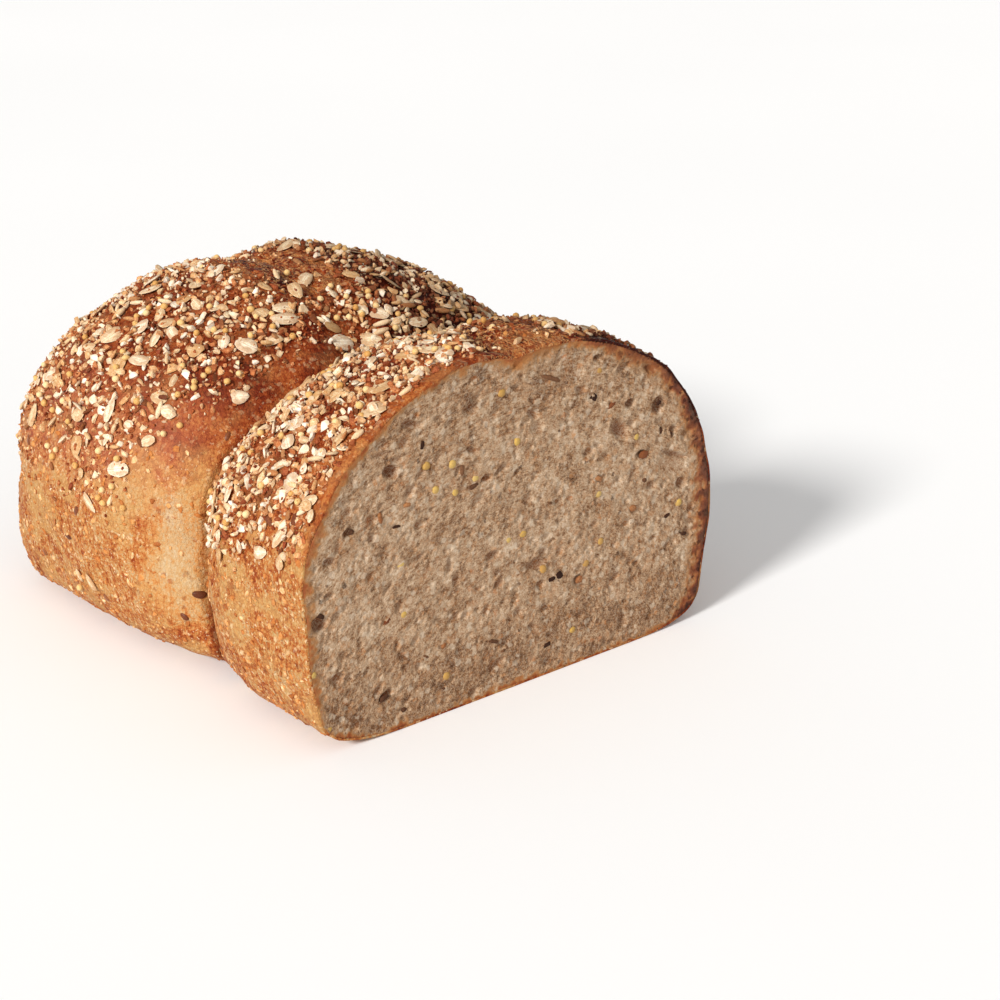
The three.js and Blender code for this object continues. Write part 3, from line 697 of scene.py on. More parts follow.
# ---- Rolled oats -------------------------------------------------------------------------------
# Steamed and rolled oat grains: thin cream flakes with a crease down the middle and a ragged rim.
# They were scattered on the wet dough, largest first here, and baked on where they fell.
OATS_ON_CROWN = [  # across the loaf's plan: x, y, length, width, turn
    (-71.7, -32.0, 6.4, 5.0, 20), (-73.0, -18.6, 7.2, 4.4, 70), (-76.8, -16.4, 7.0, 4.2, 80),
    (-78.4, -22.3, 5.0, 4.4, 0), (-64.4, -6.3, 7.0, 5.4, 80), (-68.6, -6.6, 6.0, 3.9, 85),
    (-80.5, -42.5, 5.2, 4.4, 10), (-96.8, -40.4, 5.0, 4.2, 30), (-93.4, -51.0, 6.8, 3.8, 10),
    (-78.4, -53.8, 5.4, 4.0, 0), (-110.6, -47.9, 6.6, 4.2, 80), (-114.6, -32.9, 6.8, 4.0, 60),
    (-82.0, -8.5, 6.6, 3.8, -10), (-89.3, 0.0, 7.0, 4.0, -50), (-78.4, 20.0, 7.8, 5.0, 5),
    (-64.0, 18.4, 5.8, 4.0, 85), (-5.9, -41.3, 7.2, 6.0, -10), (-14.6, -58.5, 6.8, 5.2, -20),
    (-10.5, -34.8, 7.2, 5.2, 75), (-13.6, -17.3, 6.0, 4.8, 10), (-13.0, -7.0, 7.4, 4.2, -45),
    (-7.8, -18.3, 5.2, 4.2, 90), (-120.9, -29.5, 6.4, 4.6, 40), (-103.0, -26.0, 6.2, 4.4, -30),
    (-70.0, -24.8, 5.0, 3.4, 80), (-84.5, 11.5, 5.6, 3.8, 20), (-63.4, -39.8, 4.8, 3.8, 60),
    (-21.0, -40.0, 5.4, 4.2, 30), (-24.0, -52.0, 5.4, 4.0, -40), (-100.0, 24.0, 7.2, 5.4, 15),
    (-92.0, 34.0, 6.8, 5.0, 60), (-115.0, 12.0, 7.4, 5.2, 120), (-74.0, 34.0, 6.6, 5.0, 40),
    (-30.0, 30.0, 7.0, 5.2, 70), (-14.0, 36.0, 7.2, 5.2, 10), (-42.0, 12.0, 6.6, 4.8, 150),
]
OATS_ON_FLANK = [  # on the left flank: x, z, length, width, turn
    (-127.8, 54.9, 7.2, 4.2, 85), (-126.5, 66.2, 5.2, 4.4, 20), (-121.8, 65.4, 6.0, 4.0, -20),
    (-106.0, 60.4, 6.4, 4.4, 15), (-73.8, 67.0, 5.0, 3.4, -20), (-90.9, 40.6, 6.6, 2.4, -40),
    (-98.0, 46.6, 3.6, 3.0, 15), (-11.5, 54.9, 6.0, 3.6, 75), (-8.6, 48.8, 4.6, 3.2, 50),
    (-16.8, 49.2, 4.4, 3.2, 10), (-34.5, 43.6, 4.4, 3.0, 30), (-36.8, 46.8, 4.4, 2.6, 60),
    (-96.0, 16.6, 5.6, 1.8, -55), (-101.8, 17.4, 4.2, 1.6, -65), (-136.0, 62.0, 6.6, 4.4, 30),
]
OAT_COUNT, OAT_LENGTH, OAT_WIDTH, OAT_THICKNESS = 90, (4.2, 7.0), (0.58, 0.8), (0.55, 0.9)
SPOT_COUNT = 110000
sowing = np.random.default_rng(7)

# Spots all over the crust but for the crumb's seat, each with the way its skin faces there. The faces
# are put in one fixed order, so that the draw falls the same every time.
crust.data.calc_loop_triangles()
triangles = np.empty(len(crust.data.loop_triangles) * 3, dtype=np.int32)
crust.data.loop_triangles.foreach_get("vertices", triangles)
triangles = triangles.reshape(-1, 3)
skin, facing = read_points(crust.data), read_vectors(crust.data.vertex_normals, "vector")
triangles = triangles[skin[triangles][:, :, 0].max(axis=1) < -0.6]
middles = skin[triangles].mean(axis=1)
outside = (middles[:, 0] < -6.0) | (loaf_distance(middles) > -1.6)
triangles, middles = triangles[outside], middles[outside]
triangles = triangles[np.lexsort(middles.T)]
sides_ab = skin[triangles[:, 1]] - skin[triangles[:, 0]]
sides_ac = skin[triangles[:, 2]] - skin[triangles[:, 0]]
area = np.linalg.norm(np.cross(sides_ab, sides_ac), axis=1) / 2.0
chosen = sowing.choice(len(triangles), SPOT_COUNT, p=area / area.sum())
first, second = sowing.random(SPOT_COUNT), sowing.random(SPOT_COUNT)
folded = first + second > 1.0
first, second = np.where(folded, 1.0 - first, first), np.where(folded, 1.0 - second, second)
spots = skin[triangles[chosen, 0]] + first[:, None] * sides_ab[chosen] + second[:, None] * sides_ac[chosen]
weights = np.stack([1.0 - first - second, first, second], axis=1)
spot_facing = (facing[triangles[chosen]] * weights[:, :, None]).sum(axis=1)
spot_facing /= np.linalg.norm(spot_facing, axis=1)[:, None]
spot_cover = topping_cover(spots)
taken_places, taken_count = np.zeros((20000, 4)), 0


def take_place(spot, width):
    """Notes that a topping of a width now lies on a spot."""
    global taken_count
    taken_places[taken_count] = [*spot, width]
    taken_count += 1


def take_spots(count, width, room, crowding=0.0, cover_power=1.0):
    """Picks free spots at random: room is how far apart, as a share of the widths, pieces keep."""
    taken, highs = [], []
    luck, rides_up = sowing.random(len(spots)), sowing.random(len(spots))
    for index in sowing.permutation(len(spots)):
        if len(taken) == count:
            break
        if luck[index] > spot_cover[index] ** cover_power:
            continue
        others = taken_places[:taken_count]
        gaps = ((others[:, :3] - spots[index]) ** 2).sum(axis=1)
        tight = bool((gaps < ((others[:, 3] * max(room, 0.62) + width * room) / 2.0) ** 2).any())
        if tight and rides_up[index] > crowding:
            continue
        taken.append(index)
        highs.append(0.6 if tight else 0.0)
        take_place(spots[index], width)
    return np.array(taken, dtype=int), np.array(highs)


def unit_shape(build, variants):
    """Models a shape by hand a few times over, each a little different, and keeps the meshes."""
    shapes = []
    for variant in range(variants):
        bpy.ops.object.select_all(action="DESELECT")
        model = build(variant)
        bpy.ops.object.mode_set(mode="OBJECT")
        corners = read_vectors(model.data.vertices, "co")
        corners -= (corners.max(axis=0) + corners.min(axis=0)) / 2.0
        corners /= corners.max(axis=0) - corners.min(axis=0)
        shapes.append((corners, [tuple(face.vertices) for face in model.data.polygons]))
        bpy.data.objects.remove(model)
    return shapes


def bake_on(name, shapes, where_at, way_up, sizes, turns, tilt, lifts, bend, material, smooth=45.0,
            slot="toppings"):
    """Joins copies of the shapes, each sized, bent, turned and pressed into the loaf, as one piece."""
    corners, faces, tints, shade_weights, grains, start = [], [], [], [], [], 0
    for index, (spot, up_way) in enumerate(zip(where_at, way_up)):
        shape, shape_faces = shapes[sowing.integers(len(shapes))]
        local = shape.copy()
        local[:, 2] += bend * sowing.normal() * (local[:, 0] ** 2 - 0.08)
        local[:, 1] += 0.5 * bend * sowing.normal() * local[:, 0] ** 2
        sized = local * sizes[index]
        turned_to = Vector(up_way).to_track_quat("Z", "X").to_matrix()
        own = Matrix.Rotation(turns[index], 3, "Z")
        nod = Matrix.Rotation(sowing.normal() * tilt, 3, "X")
        sway = Matrix.Rotation(sowing.normal() * tilt, 3, "Y")
        whole = np.array(turned_to @ (nod @ sway) @ own)
        corners.append(sized @ whole.T + spot + np.array(up_way) * lifts[index])
        faces.extend(tuple(start + corner for corner in face) for face in shape_faces)
        # Painted shade: pieces on the crown's right side, turned away from the light, get a lower tint and a
        # dark brown laid over them.
        shaded = smooth_step(spot[1], 2.0, 26.0) * smooth_step(spot[2], 45.0, 60.0) * (slot == "toppings")
        tints.append(np.full(len(shape), sowing.random() * (1.0 - 0.4 * shaded)))
        shade_weights.append(np.full(len(shape), shaded))
        grains.append(shape)
        start += len(shape)
    corners = np.concatenate(corners)
    corners[:, 0] = np.minimum(corners[:, 0], -0.02)
    mesh = bpy.data.meshes.new(name)
    mesh.from_pydata(((corners + ORIGIN) * MM).tolist(), [], faces)
    keep_values(mesh, "tint", np.concatenate(tints))
    keep_values(mesh, "painted_shade", np.concatenate(shade_weights))
    keep_values(mesh, "grain", np.concatenate(grains))
    piece = bpy.data.objects.new(name, mesh)
    bpy.context.collection.objects.link(piece)
    bpy.ops.object.select_all(action="DESELECT")
    piece.select_set(True)
    bpy.context.view_layer.objects.active = piece
    bpy.ops.object.shade_smooth_by_angle(angle=np.radians(smooth))
    mesh.materials.append(material)
    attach(piece, "root")
    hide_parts("loaf")


def spread_sizes(count, lengths, width_shares, thicknesses):
    """A length, width and thickness for each copy, more of them small than large."""
    length = lengths[0] + (lengths[1] - lengths[0]) * sowing.random(count) ** 1.3
    width = length * sowing.uniform(*width_shares, count)
    return np.stack([length, width, sowing.uniform(*thicknesses, count)], axis=1)


def oat_flake(variant, segments=12, rings=6):
    """A rounded flake with a flat top, its rim pinched in where the roller split it."""
    bpy.ops.mesh.primitive_uv_sphere_add(segments=segments, ring_count=rings, radius=0.5)
    flake = bpy.context.object
    draw = np.random.default_rng(variant + 60)
    phase, notch = draw.uniform(0.0, 6.28, 3), draw.uniform(0.05, 0.16, 3)
    for corner in flake.data.vertices:
        around = np.arctan2(corner.co.y, corner.co.x)
        out = min(np.hypot(corner.co.x, corner.co.y) * 2.0, 1.0)
        rim = 1.0 - notch[0] * max(np.cos(around + phase[0]), 0.0) ** 10
        rim -= notch[1] * max(np.cos(around + phase[1]), 0.0) ** 6 + 0.05 * np.cos(3.0 * around + phase[2])
        flat_top = 0.5 * (1.0 - out**4) ** 0.5 * (1.0 if corner.co.z > 0 else -1.0)
        groove = 0.16 * np.exp(-((corner.co.y / 0.10) ** 2)) * (corner.co.z > 0)
        corner.co = (corner.co.x * rim, corner.co.y * rim, flat_top - groove)
    bpy.ops.object.mode_set(mode="EDIT")
    bpy.ops.transform.vertex_random(offset=0.03, uniform=0.5, normal=0.5, seed=variant + 3)
    return flake


def grain_material(name, stops, rim_color, rim_share, specks, roughness, depth_mm, shade_share=0.3,
                   mark=None, mark_color=None):
    """Cereal: its tone differs from piece to piece, its rim is toasted, it has specks and it takes painted
    shade.
    """
    material, tree, shader, where = bread_material(
        name, {"Roughness": roughness, "IOR": 1.45, "Specular IOR Level": 0.16, "Subsurface Weight": 0.08,
               "Subsurface Radius": (1.0, 0.6, 0.3), "Subsurface Scale": 0.6 * MM})
    grain = place(tree, "Attribute", {"attribute_name": "grain"}, {}).outputs["Vector"]
    fine = lumpy(tree, where, 0.4)
    tone = add_layers(tree, read_value(tree, "tint"), [(swing(tree, fine), 0.9)])
    color = between_stops(tree, tone, stops)
    out_from_middle = place(tree, "VectorMath", {"operation": "LENGTH"}, {0: grain}).outputs["Value"]
    ragged_rim = add_layers(tree, out_from_middle, [(lumpy(tree, where, 0.9, 1.0), 0.24)])
    color = paint(tree, color, fade(tree, ragged_rim, 0.46, 0.70, 0.0, rim_share), rim_color)
    mask, tones = fleck_mask(tree, where, 0.9, 0.36, specks)
    color = paint(tree, color, times(tree, mask, 0.55), rim_color)
    # Painted shade on pieces that lie on the side away from the light.
    color = paint(tree, color, times(tree, read_value(tree, "painted_shade"), shade_share), (66, 24, 12))
    if mark:
        color = paint(tree, color, mark(tree, grain), mark_color)
    finish_surface(tree, shader, color, fine, 0.6, depth_mm)
    return material


def flake_crease(tree, grain):
    """The dark line down the middle of a flake."""
    off_middle = reckon(tree, "ABSOLUTE", place(tree, "SeparateXYZ", {}, {0: grain}).outputs[1])
    return fade(tree, off_middle, 0.0, 0.05, 0.5, 0.0)


def seat_at(table, axes, faces_out):
    """The spots of the crust nearest to the places in a table, on the side that faces out."""
    found = []
    for entry in table:
        gaps = np.hypot(spots[:, axes[0]] - entry[0], spots[:, axes[1]] - entry[1])
        found.append(int(np.where(faces_out, gaps, 1e9).argmin()))
        take_place(spots[found[-1]], entry[2])
    return found


def lying_turns(found, table, axis):
    """The turn of each flake about its own upright, from its turn in the plan or on the flank."""
    turns = []
    for index, entry in zip(found, table):
        way = np.zeros(3)
        way[0], way[axis] = np.cos(np.radians(entry[4])), np.sin(np.radians(entry[4]))
        flat_way = np.array(Vector(spot_facing[index]).to_track_quat("Z", "X").to_matrix()).T @ way
        turns.append(np.arctan2(flat_way[1], flat_way[0]))
    return turns


on_top, on_left = spot_facing[:, 2] > 0.25, spot_facing[:, 1] < -0.15
crown_found, flank_found = seat_at(OATS_ON_CROWN, (0, 1), on_top), seat_at(OATS_ON_FLANK, (0, 2), on_left)
seen = np.array([entry[2:4] for entry in OATS_ON_CROWN + OATS_ON_FLANK])
seen_sizes = np.column_stack([seen, sowing.uniform(*OAT_THICKNESS, len(seen))])
seen_turns = lying_turns(crown_found, OATS_ON_CROWN, 1) + lying_turns(flank_found, OATS_ON_FLANK, 2)
extra, _ = take_spots(OAT_COUNT, 5.0, 0.85)
oat_spots = np.array(crown_found + flank_found + extra.tolist())
oat_sizes = np.vstack([seen_sizes, spread_sizes(len(extra), OAT_LENGTH, OAT_WIDTH, OAT_THICKNESS)])
oat_turns = np.concatenate([seen_turns, sowing.uniform(0, 6.28, len(extra))])
oat_lifts = sowing.uniform(0.45, 0.75, len(oat_spots))
OAT_TONES = [(0.0, (206, 164, 112)), (0.3, (232, 210, 172)), (0.65, (242, 226, 196)), (1.0, (248, 236, 212))]
oat_material = grain_material("rolled oat", OAT_TONES, (172, 120, 72), 0.7, 0.12, 0.6, 0.3,
                              mark=flake_crease, mark_color=(164, 114, 70))
bake_on("rolled_oats", unit_shape(oat_flake, 6), spots[oat_spots], spot_facing[oat_spots], oat_sizes,
        oat_turns, 0.14, oat_lifts, 0.32, oat_material, 60.0)

# ---- Cracked grain -----------------------------------------------------------------------------
# Wheat broken between rollers and pieces of split oat: chips, starchy white where they broke.
def cracked_chip(variant):
    """A block of grain with its corners broken off along flat planes."""
    draw = np.random.default_rng(variant + 40)
    bpy.ops.mesh.primitive_cube_add(size=1.0)
    chip = bpy.context.object
    bpy.ops.object.mode_set(mode="EDIT")
    bpy.ops.mesh.subdivide(number_cuts=1)
    bpy.ops.transform.tosphere(value=0.45)
    bpy.ops.transform.vertex_random(offset=0.12, uniform=0.6, normal=0.4, seed=variant + 11)
    for _ in range(3):
        way = draw.normal(size=3)
        way /= np.linalg.norm(way)
        bpy.ops.mesh.select_all(action="SELECT")
        bpy.ops.mesh.bisect(plane_co=tuple(way * draw.uniform(0.22, 0.36)), plane_no=tuple(way),
                            use_fill=True, clear_outer=True)
    return chip


def split_flake(variant):
    """A broken piece of a rolled oat."""
    return oat_flake(variant + 20, 8, 4)


def sow_kind(name, shapes, count, room, crowding, lengths, width_shares, thicknesses, tilt, lift, bend,
             material, smooth=45.0, cover_power=1.0, first_found=()):
    """Scatters one kind of topping over the crust and bakes it on, some at places of their own."""
    taken, highs = take_spots(count, (lengths[0] + lengths[1]) / 2.0 * 0.8, room, crowding, cover_power)
    taken = np.concatenate([np.array(first_found, dtype=int), taken])
    highs = np.concatenate([np.zeros(len(first_found)), highs])
    sizes = spread_sizes(len(taken), lengths, width_shares, thicknesses)
    turns = sowing.uniform(0.0, 6.28, len(taken))
    lifts = sizes[:, 2] * lift + highs
    bake_on(name, shapes, spots[taken], spot_facing[taken], sizes, turns, tilt, lifts, bend, material, smooth)


chip_shapes = unit_shape(cracked_chip, 7)
WHITE_TONES = [(0.0, (204, 150, 96)), (0.22, (232, 200, 154)), (0.5, (244, 228, 200)), (1.0, (250, 241, 224))]
white_chip = grain_material(
    "cracked wheat", WHITE_TONES, (184, 130, 78), 0.45, 0.10, 0.62, 0.2)
sow_kind("cracked_wheat", chip_shapes, 1300, 0.66, 0.14, (1.5, 3.4), (0.45, 0.85), (1.0, 1.9), 0.40, 0.28,
         0.12, white_chip)
sow_kind("split_oats", unit_shape(split_flake, 6), 460, 0.64, 0.22, (2.0, 4.2), (0.4, 0.8), (0.6, 1.0), 0.42,
         0.66, 0.4, oat_material, 60.0)

# ---- Whole kernels -----------------------------------------------------------------------------
# Hulled oat and rye grains: slender spindles, pale straw to tan.
def whole_kernel(variant):
    """A spindle, blunter at one end."""
    bpy.ops.mesh.primitive_uv_sphere_add(segments=8, ring_count=7, radius=0.5)
    spindle = bpy.context.object
    bpy.ops.object.mode_set(mode="EDIT")
    bpy.ops.transform.rotate(value=np.pi / 2, orient_axis="Y", center_override=(0, 0, 0))
    bpy.ops.transform.vertex_random(offset=0.03, uniform=0.5, normal=0.5, seed=variant)
    bpy.ops.object.mode_set(mode="OBJECT")
    for corner in spindle.data.vertices:
        taper = 1.0 - (0.25 + 0.1 * variant) * corner.co.x
        corner.co.y, corner.co.z = corner.co.y * taper, corner.co.z * taper
    return spindle


kernel_shapes = unit_shape(whole_kernel, 3)
kernel_material = grain_material(
    "hulled kernel", [(0.0, (172, 108, 62)), (0.4, (216, 172, 120)), (1.0, (242, 222, 186))],
    (160, 108, 64), 0.4, 0.10, 0.5, 0.15, 0.45)
sow_kind("hulled_kernels", kernel_shapes, 250, 0.64, 0.18, (2.6, 5.2), (0.26, 0.40), (1.0, 1.6),
         0.26, 0.30, 0.16, kernel_material, 70.0)

# ---- Millet ------------------------------------------------------------------------------------
# Hulled millet: hard glossy yellow balls about 2 mm across, with a dark dot where the germ sits.
# On the left flank: x, z and width.
MILLET_ON_FLANK = [(-59.0, 46.8, 2.0), (-57.8, 44.3, 2.0), (-103.0, 12.4, 2.0)]


def millet_ball(variant):
    """A ball, a little uneven."""
    bpy.ops.mesh.primitive_uv_sphere_add(segments=8, ring_count=6, radius=0.5)
    seed = bpy.context.object
    bpy.ops.object.mode_set(mode="EDIT")
    bpy.ops.transform.vertex_random(offset=0.02, uniform=0.5, normal=0.5, seed=variant)
    return seed


def germ_dot(tree, grain):
    """The dark dot on one side of a ball."""
    feeds = {0: grain, 1: (0.30, 0.10, 0.34)}
    distance = place(tree, "VectorMath", {"operation": "DISTANCE"}, feeds).outputs["Value"]
    return fade(tree, distance, 0.06, 0.15, 0.6, 0.0)


millet_material = grain_material(
    "millet", [(0.0, (200, 148, 82)), (0.5, (222, 180, 114)), (1.0, (236, 208, 158))],
    (196, 128, 56), 0.15, 0.05, 0.36, 0.06, mark=germ_dot, mark_color=(130, 78, 38))
millet_shapes = unit_shape(millet_ball, 3)
sow_kind("millet", millet_shapes, 260, 0.8, 0.3, (1.7, 2.2), (0.92, 1.0), (1.6, 2.0), 0.6, 0.30, 0.0,
         millet_material, 80.0, 0.7, seat_at(MILLET_ON_FLANK, (0, 2), on_left))

# ---- Small grain -------------------------------------------------------------------------------
# The finest of the mix that fills the gaps: tan cracked rye, brown bran and dark linseed.
RYE_TONES = [(0.0, (134, 60, 32)), (0.35, (188, 112, 64)), (0.7, (222, 166, 112)), (1.0, (240, 212, 170))]
tan_chip = grain_material("cracked rye", RYE_TONES, (120, 56, 30), 0.5, 0.15, 0.62, 0.2, 0.6)
sow_kind("cracked_rye", chip_shapes, 1700, 0.58, 0.16, (1.3, 2.8), (0.5, 0.9), (0.8, 1.5), 0.3, 0.2, 0.1,
         tan_chip)


def bran_flake(variant):
    """A thin curled scale of husk."""
    bpy.ops.mesh.primitive_cube_add(size=1.0)
    scale = bpy.context.object
    bpy.ops.object.mode_set(mode="EDIT")
    bpy.ops.mesh.subdivide(number_cuts=1)
    bpy.ops.transform.tosphere(value=0.6)
    bpy.ops.transform.vertex_random(offset=0.10, uniform=0.6, normal=0.4, seed=variant + 21)
    return scale


bran_material = grain_material(
    "bran", [(0.0, (104, 52, 30)), (0.5, (150, 90, 50)), (1.0, (194, 138, 90))],
    (84, 42, 24), 0.4, 0.1, 0.6, 0.15, 0.8)
bran_shapes = unit_shape(bran_flake, 4)
sow_kind("bran", bran_shapes, 520, 0.5, 0.2, (1.6, 3.8), (0.3, 0.6), (0.4, 0.8), 0.3, 0.35, 0.5,
         bran_material, cover_power=0.7)

LINSEED_ON_FLANK = [  # on the left flank: x, z, width
    (-99.0, 36.8, 4.0), (-105.3, 27.1, 4.0), (-124.6, 16.8, 4.0), (-92.0, 13.0, 3.5), (-80.3, 52.4, 3.0),
    (-89.0, 59.0, 3.0), (-129.0, 48.0, 3.0), (-59.1, 22.5, 3.0), (-61.5, 16.4, 3.0), (-60.1, 62.3, 3.0),
]
dark_material = grain_material(
    "linseed", [(0.0, (84, 42, 24)), (0.6, (116, 62, 36)), (1.0, (150, 92, 54))],
    (44, 26, 18), 0.3, 0.05, 0.35, 0.05)
sow_kind("linseed", kernel_shapes, 14, 0.7, 0.2, (2.8, 4.0), (0.5, 0.7), (0.9, 1.2), 0.15, -0.2, 0.1,
         dark_material, 70.0, 0.6, seat_at(LINSEED_ON_FLANK, (0, 2), on_left))


def dust_speck(variant):
    """A crumb of broken grain."""
    bpy.ops.mesh.primitive_ico_sphere_add(subdivisions=1, radius=0.5)
    speck = bpy.context.object
    bpy.ops.object.mode_set(mode="EDIT")
    bpy.ops.transform.vertex_random(offset=0.16, uniform=0.6, normal=0.4, seed=variant + 5)
    return speck


DUST_TONES = [(0.0, (118, 48, 24)), (0.4, (180, 100, 54)), (0.7, (226, 176, 122)), (1.0, (244, 224, 190))]
dust_material = grain_material("grain crumbs", DUST_TONES, (120, 56, 30), 0.4, 0.1, 0.65, 0.1, 0.85)
sow_kind("grain_crumbs", unit_shape(dust_speck, 4), 8600, 0.3, 0.22, (0.6, 1.6), (0.45, 0.95), (0.5, 1.1),
         0.5, 0.2, 0.0, dust_material, 30.0, 0.6)

# ---- Grain under the skin ----------------------------------------------------------------------
# Bits of the mix in the dough itself, which stand as low bumps on the bare flanks, baked golden.
bareness = smooth_step(spots[:, 2], 2.0, 4.0) * (spot_cover < 0.25)
bareness = bareness * (1.0 - 0.93 * smooth_step(spots[:, 2], 54.0, 66.0))
bareness *= 1.0 - 0.85 * bell((from_fold(spots) - 10.0) / 16.0)
under_skin = sowing.choice(len(spots), 2400, replace=False, p=bareness / bareness.sum())
SKIN_TONES = [(0.0, (142, 76, 34)), (0.35, (190, 118, 58)), (0.7, (214, 156, 92)), (1.0, (238, 204, 154))]
skin_grain = grain_material("grain under skin", SKIN_TONES, (172, 100, 46), 0.5, 0.1, 0.5, 0.15)
skin_sizes = spread_sizes(len(under_skin), (0.8, 2.6), (0.4, 0.85), (0.5, 0.8))
bake_on("grain_under_skin", unit_shape(dust_speck, 5), spots[under_skin], spot_facing[under_skin], skin_sizes,
        sowing.uniform(0.0, 6.28, len(under_skin)), 0.1, -0.08 * skin_sizes[:, 2], 0.1, skin_grain, 80.0)

# ---- Grain in the crumb ------------------------------------------------------------------------
# The same mix inside the dough, sliced by the knife: yellow millet and dark slivers of linseed hull.
MILLET_IN_CRUMB = [  # across and up on the cut face
    (-29.7, 66.8), (-21.7, 65.3), (-27.0, 59.9), (-14.5, 60.0), (-21.0, 58.0), (-1.0, 66.3), (26.3, 79.3),
    (-6.0, 80.0), (-38.0, 43.8), (-3.8, 41.3), (1.0, 41.5), (-37.5, 30.4), (8.0, 29.8), (-65.0, 22.6),
    (-61.0, 7.2), (-24.3, 9.8), (18.5, 10.0), (28.0, 32.2), (57.0, 36.0), (27.0, 45.8), (40.0, 58.3),
    (23.0, 27.5),
]
SLIVERS_IN_CRUMB = [  # across and up on the cut face, length, width, turn in degrees
    (-38.5, 53.7, 4.6, 0.7, -3), (-31.0, 72.2, 2.4, 1.2, 75), (-18.7, 63.2, 3.2, 1.4, 80),
    (-15.2, 58.1, 3.0, 1.6, 15), (24.8, 72.5, 2.6, 2.0, -30), (10.0, 80.5, 7.0, 1.2, -22),
    (17.5, 52.0, 2.0, 1.0, -50), (10.0, 47.5, 1.8, 0.8, -15), (43.5, 45.5, 2.2, 1.4, 0),
    (13.6, 26.6, 2.8, 2.2, -60), (11.0, 26.4, 2.6, 1.2, 10), (-9.5, 15.0, 4.8, 1.1, -22),
    (-30.7, 17.3, 2.4, 1.1, -30), (9.5, 8.4, 3.0, 1.6, 10), (-38.0, 5.0, 1.8, 1.5, 0),
    (52.5, 33.3, 2.5, 1.4, 10), (58.8, 26.5, 2.8, 1.2, -15), (42.5, 19.3, 1.5, 0.8, 0),
    (49.2, 58.0, 1.0, 2.0, 0), (-66.8, 37.5, 1.0, 2.0, 20), (48.2, 66.0, 1.6, 1.2, 30),
    (-44.0, 10.0, 3.0, 1.6, 25), (61.0, 59.0, 3.0, 1.2, -40), (-62.0, 37.0, 2.6, 1.2, -30),
    (-52.6, 55.6, 1.6, 1.2, 0), (53.0, 56.0, 1.4, 1.8, 0), (-25.4, 6.6, 1.2, 0.9, 0),
    (-5.6, 11.2, 1.6, 0.9, 20),
]
BRAN_IN_CRUMB = [
    (39.5, 38.7, 2.8, 2.0, -20), (31.0, 69.0, 3.0, 1.6, 25), (43.0, 52.8, 3.6, 2.4, -10),
    (-36.0, 58.4, 2.6, 1.2, 0), (-44.0, 57.0, 1.4, 3.0, 10), (27.0, 50.0, 3.0, 1.4, -30),
    (20.5, 23.6, 2.6, 2.2, 0), (-25.2, 18.4, 1.8, 1.4, 20), (-42.6, 30.0, 2.6, 1.2, 20),
]
toward_cut = np.array([1.0, 0.0, 0.0])


def set_in_crumb(name, shapes, table, depth, thickness, material):
    """Sets pieces of grain into the cut face at the places in a table."""
    where_at = np.array([[-depth, entry[0], entry[1]] for entry in table])
    sizes = np.array([[entry[2], entry[3], thickness] for entry in table])
    track = np.array(Vector(toward_cut).to_track_quat("Z", "X").to_matrix())
    turns = []
    for entry in table:
        flat_way = track.T @ np.array([0.0, np.cos(np.radians(entry[4])), np.sin(np.radians(entry[4]))])
        turns.append(np.arctan2(flat_way[1], flat_way[0]))
    bake_on(name, shapes, where_at, np.tile(toward_cut, (len(table), 1)), sizes, turns, 0.08,
            np.zeros(len(table)), 0.25, material, 60.0, "crumb")


crumb_millet = grain_material(
    "sliced millet", [(0.0, (182, 136, 66)), (0.5, (206, 166, 76)), (1.0, (218, 188, 112))],
    (170, 134, 90), 0.7, 0.12, 0.6, 0.1)
sliced_millet = [(*at, 2.7, 2.4, 0) for at in MILLET_IN_CRUMB]
set_in_crumb("crumb_millet", millet_shapes, sliced_millet, 0.68, 1.5, crumb_millet)
sliver_material = grain_material(
    "linseed hull", [(0.0, (48, 26, 17)), (0.5, (78, 48, 32)), (1.0, (128, 88, 60))],
    (40, 22, 14), 0.3, 0.15, 0.8, 0.2)
set_in_crumb("crumb_slivers", bran_shapes, SLIVERS_IN_CRUMB, 0.40, 0.55, sliver_material)
set_in_crumb("crumb_bran", bran_shapes, BRAN_IN_CRUMB, 0.34, 0.4, bran_material)

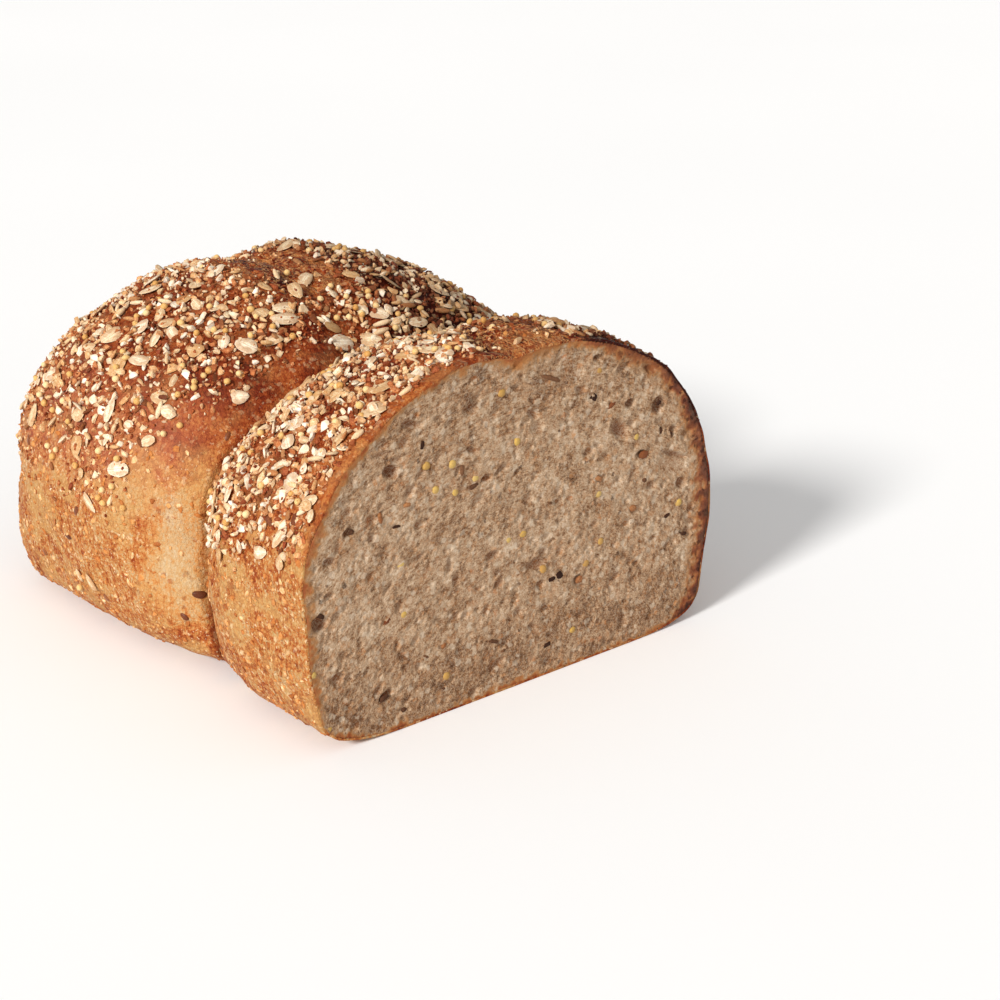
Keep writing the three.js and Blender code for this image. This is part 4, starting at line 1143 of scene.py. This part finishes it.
# ---- Floor, light and camera -------------------------------------------------------------------
# A pale floor under soft studio light, seen from the right of the cut and a little above.
bpy.ops.object.select_all(action="DESELECT")
bpy.ops.mesh.primitive_plane_add(size=60.0, location=(0.0, 0.0, 0.0))
floor = bpy.context.object
floor.name = "floor"
floor_material, tree, shader, where = bread_material("pale floor", {"Roughness": 0.9})
shade = place(tree, "TexNoise", {}, {"Vector": where, "Scale": 3.0, "Detail": 1.0}).outputs[0]
color = blend_colors(tree, shade, linear(248, 248, 248), linear(252, 252, 252))
tree.links.new(color, shader.inputs["Base Color"])
floor.data.materials.append(floor_material)

world = bpy.data.worlds.new("studio")
bpy.context.scene.world = world
world.use_nodes = True
world.node_tree.nodes["Background"].inputs[0].default_value = (1.0, 1.0, 1.0, 1.0)
world.node_tree.nodes["Background"].inputs[1].default_value = 0.46

for name, energy, spread, toward in (
    ("key", 3.4, 12.0, (0.2, -0.80, 0.45)),
    ("fill", 0.5, 60.0, (0.75, -0.45, 0.5)),
):
    lamp = bpy.data.lights.new(name, "SUN")
    lamp.energy, lamp.angle, lamp.color = energy, np.radians(spread), (1.0, 0.98, 0.95)
    light = bpy.data.objects.new(name, lamp)
    bpy.context.collection.objects.link(light)
    light.rotation_euler = Vector(toward).to_track_quat("Z", "Y").to_euler()

VIEW_TURN, VIEW_RISE, VIEW_DISTANCE = np.radians(49.1), np.radians(20.7), 0.5223
right = np.array([np.cos(VIEW_TURN), np.sin(VIEW_TURN), 0.0])
level = np.array([np.sin(VIEW_TURN), -np.cos(VIEW_TURN), 0.0])
back = level * np.cos(VIEW_RISE) + np.array([0.0, 0.0, np.sin(VIEW_RISE)])
above = np.cross(back, right)
aim = (ORIGIN + [0, 0, 50.0] - 5.25 * right + 0.78 * above) * MM
lens = bpy.data.cameras.new("camera")
lens.sensor_width, lens.lens = 36.0, 75.35
lens.clip_start = 0.01
camera = bpy.data.objects.new("camera", lens)
bpy.context.collection.objects.link(camera)
turned = Matrix(np.stack([right, above, back], axis=1).tolist()).to_4x4()
camera.matrix_world = Matrix.Translation(aim + back * VIEW_DISTANCE) @ turned
bpy.context.scene.camera = camera
bpy.context.scene.view_settings.view_transform = "Standard"
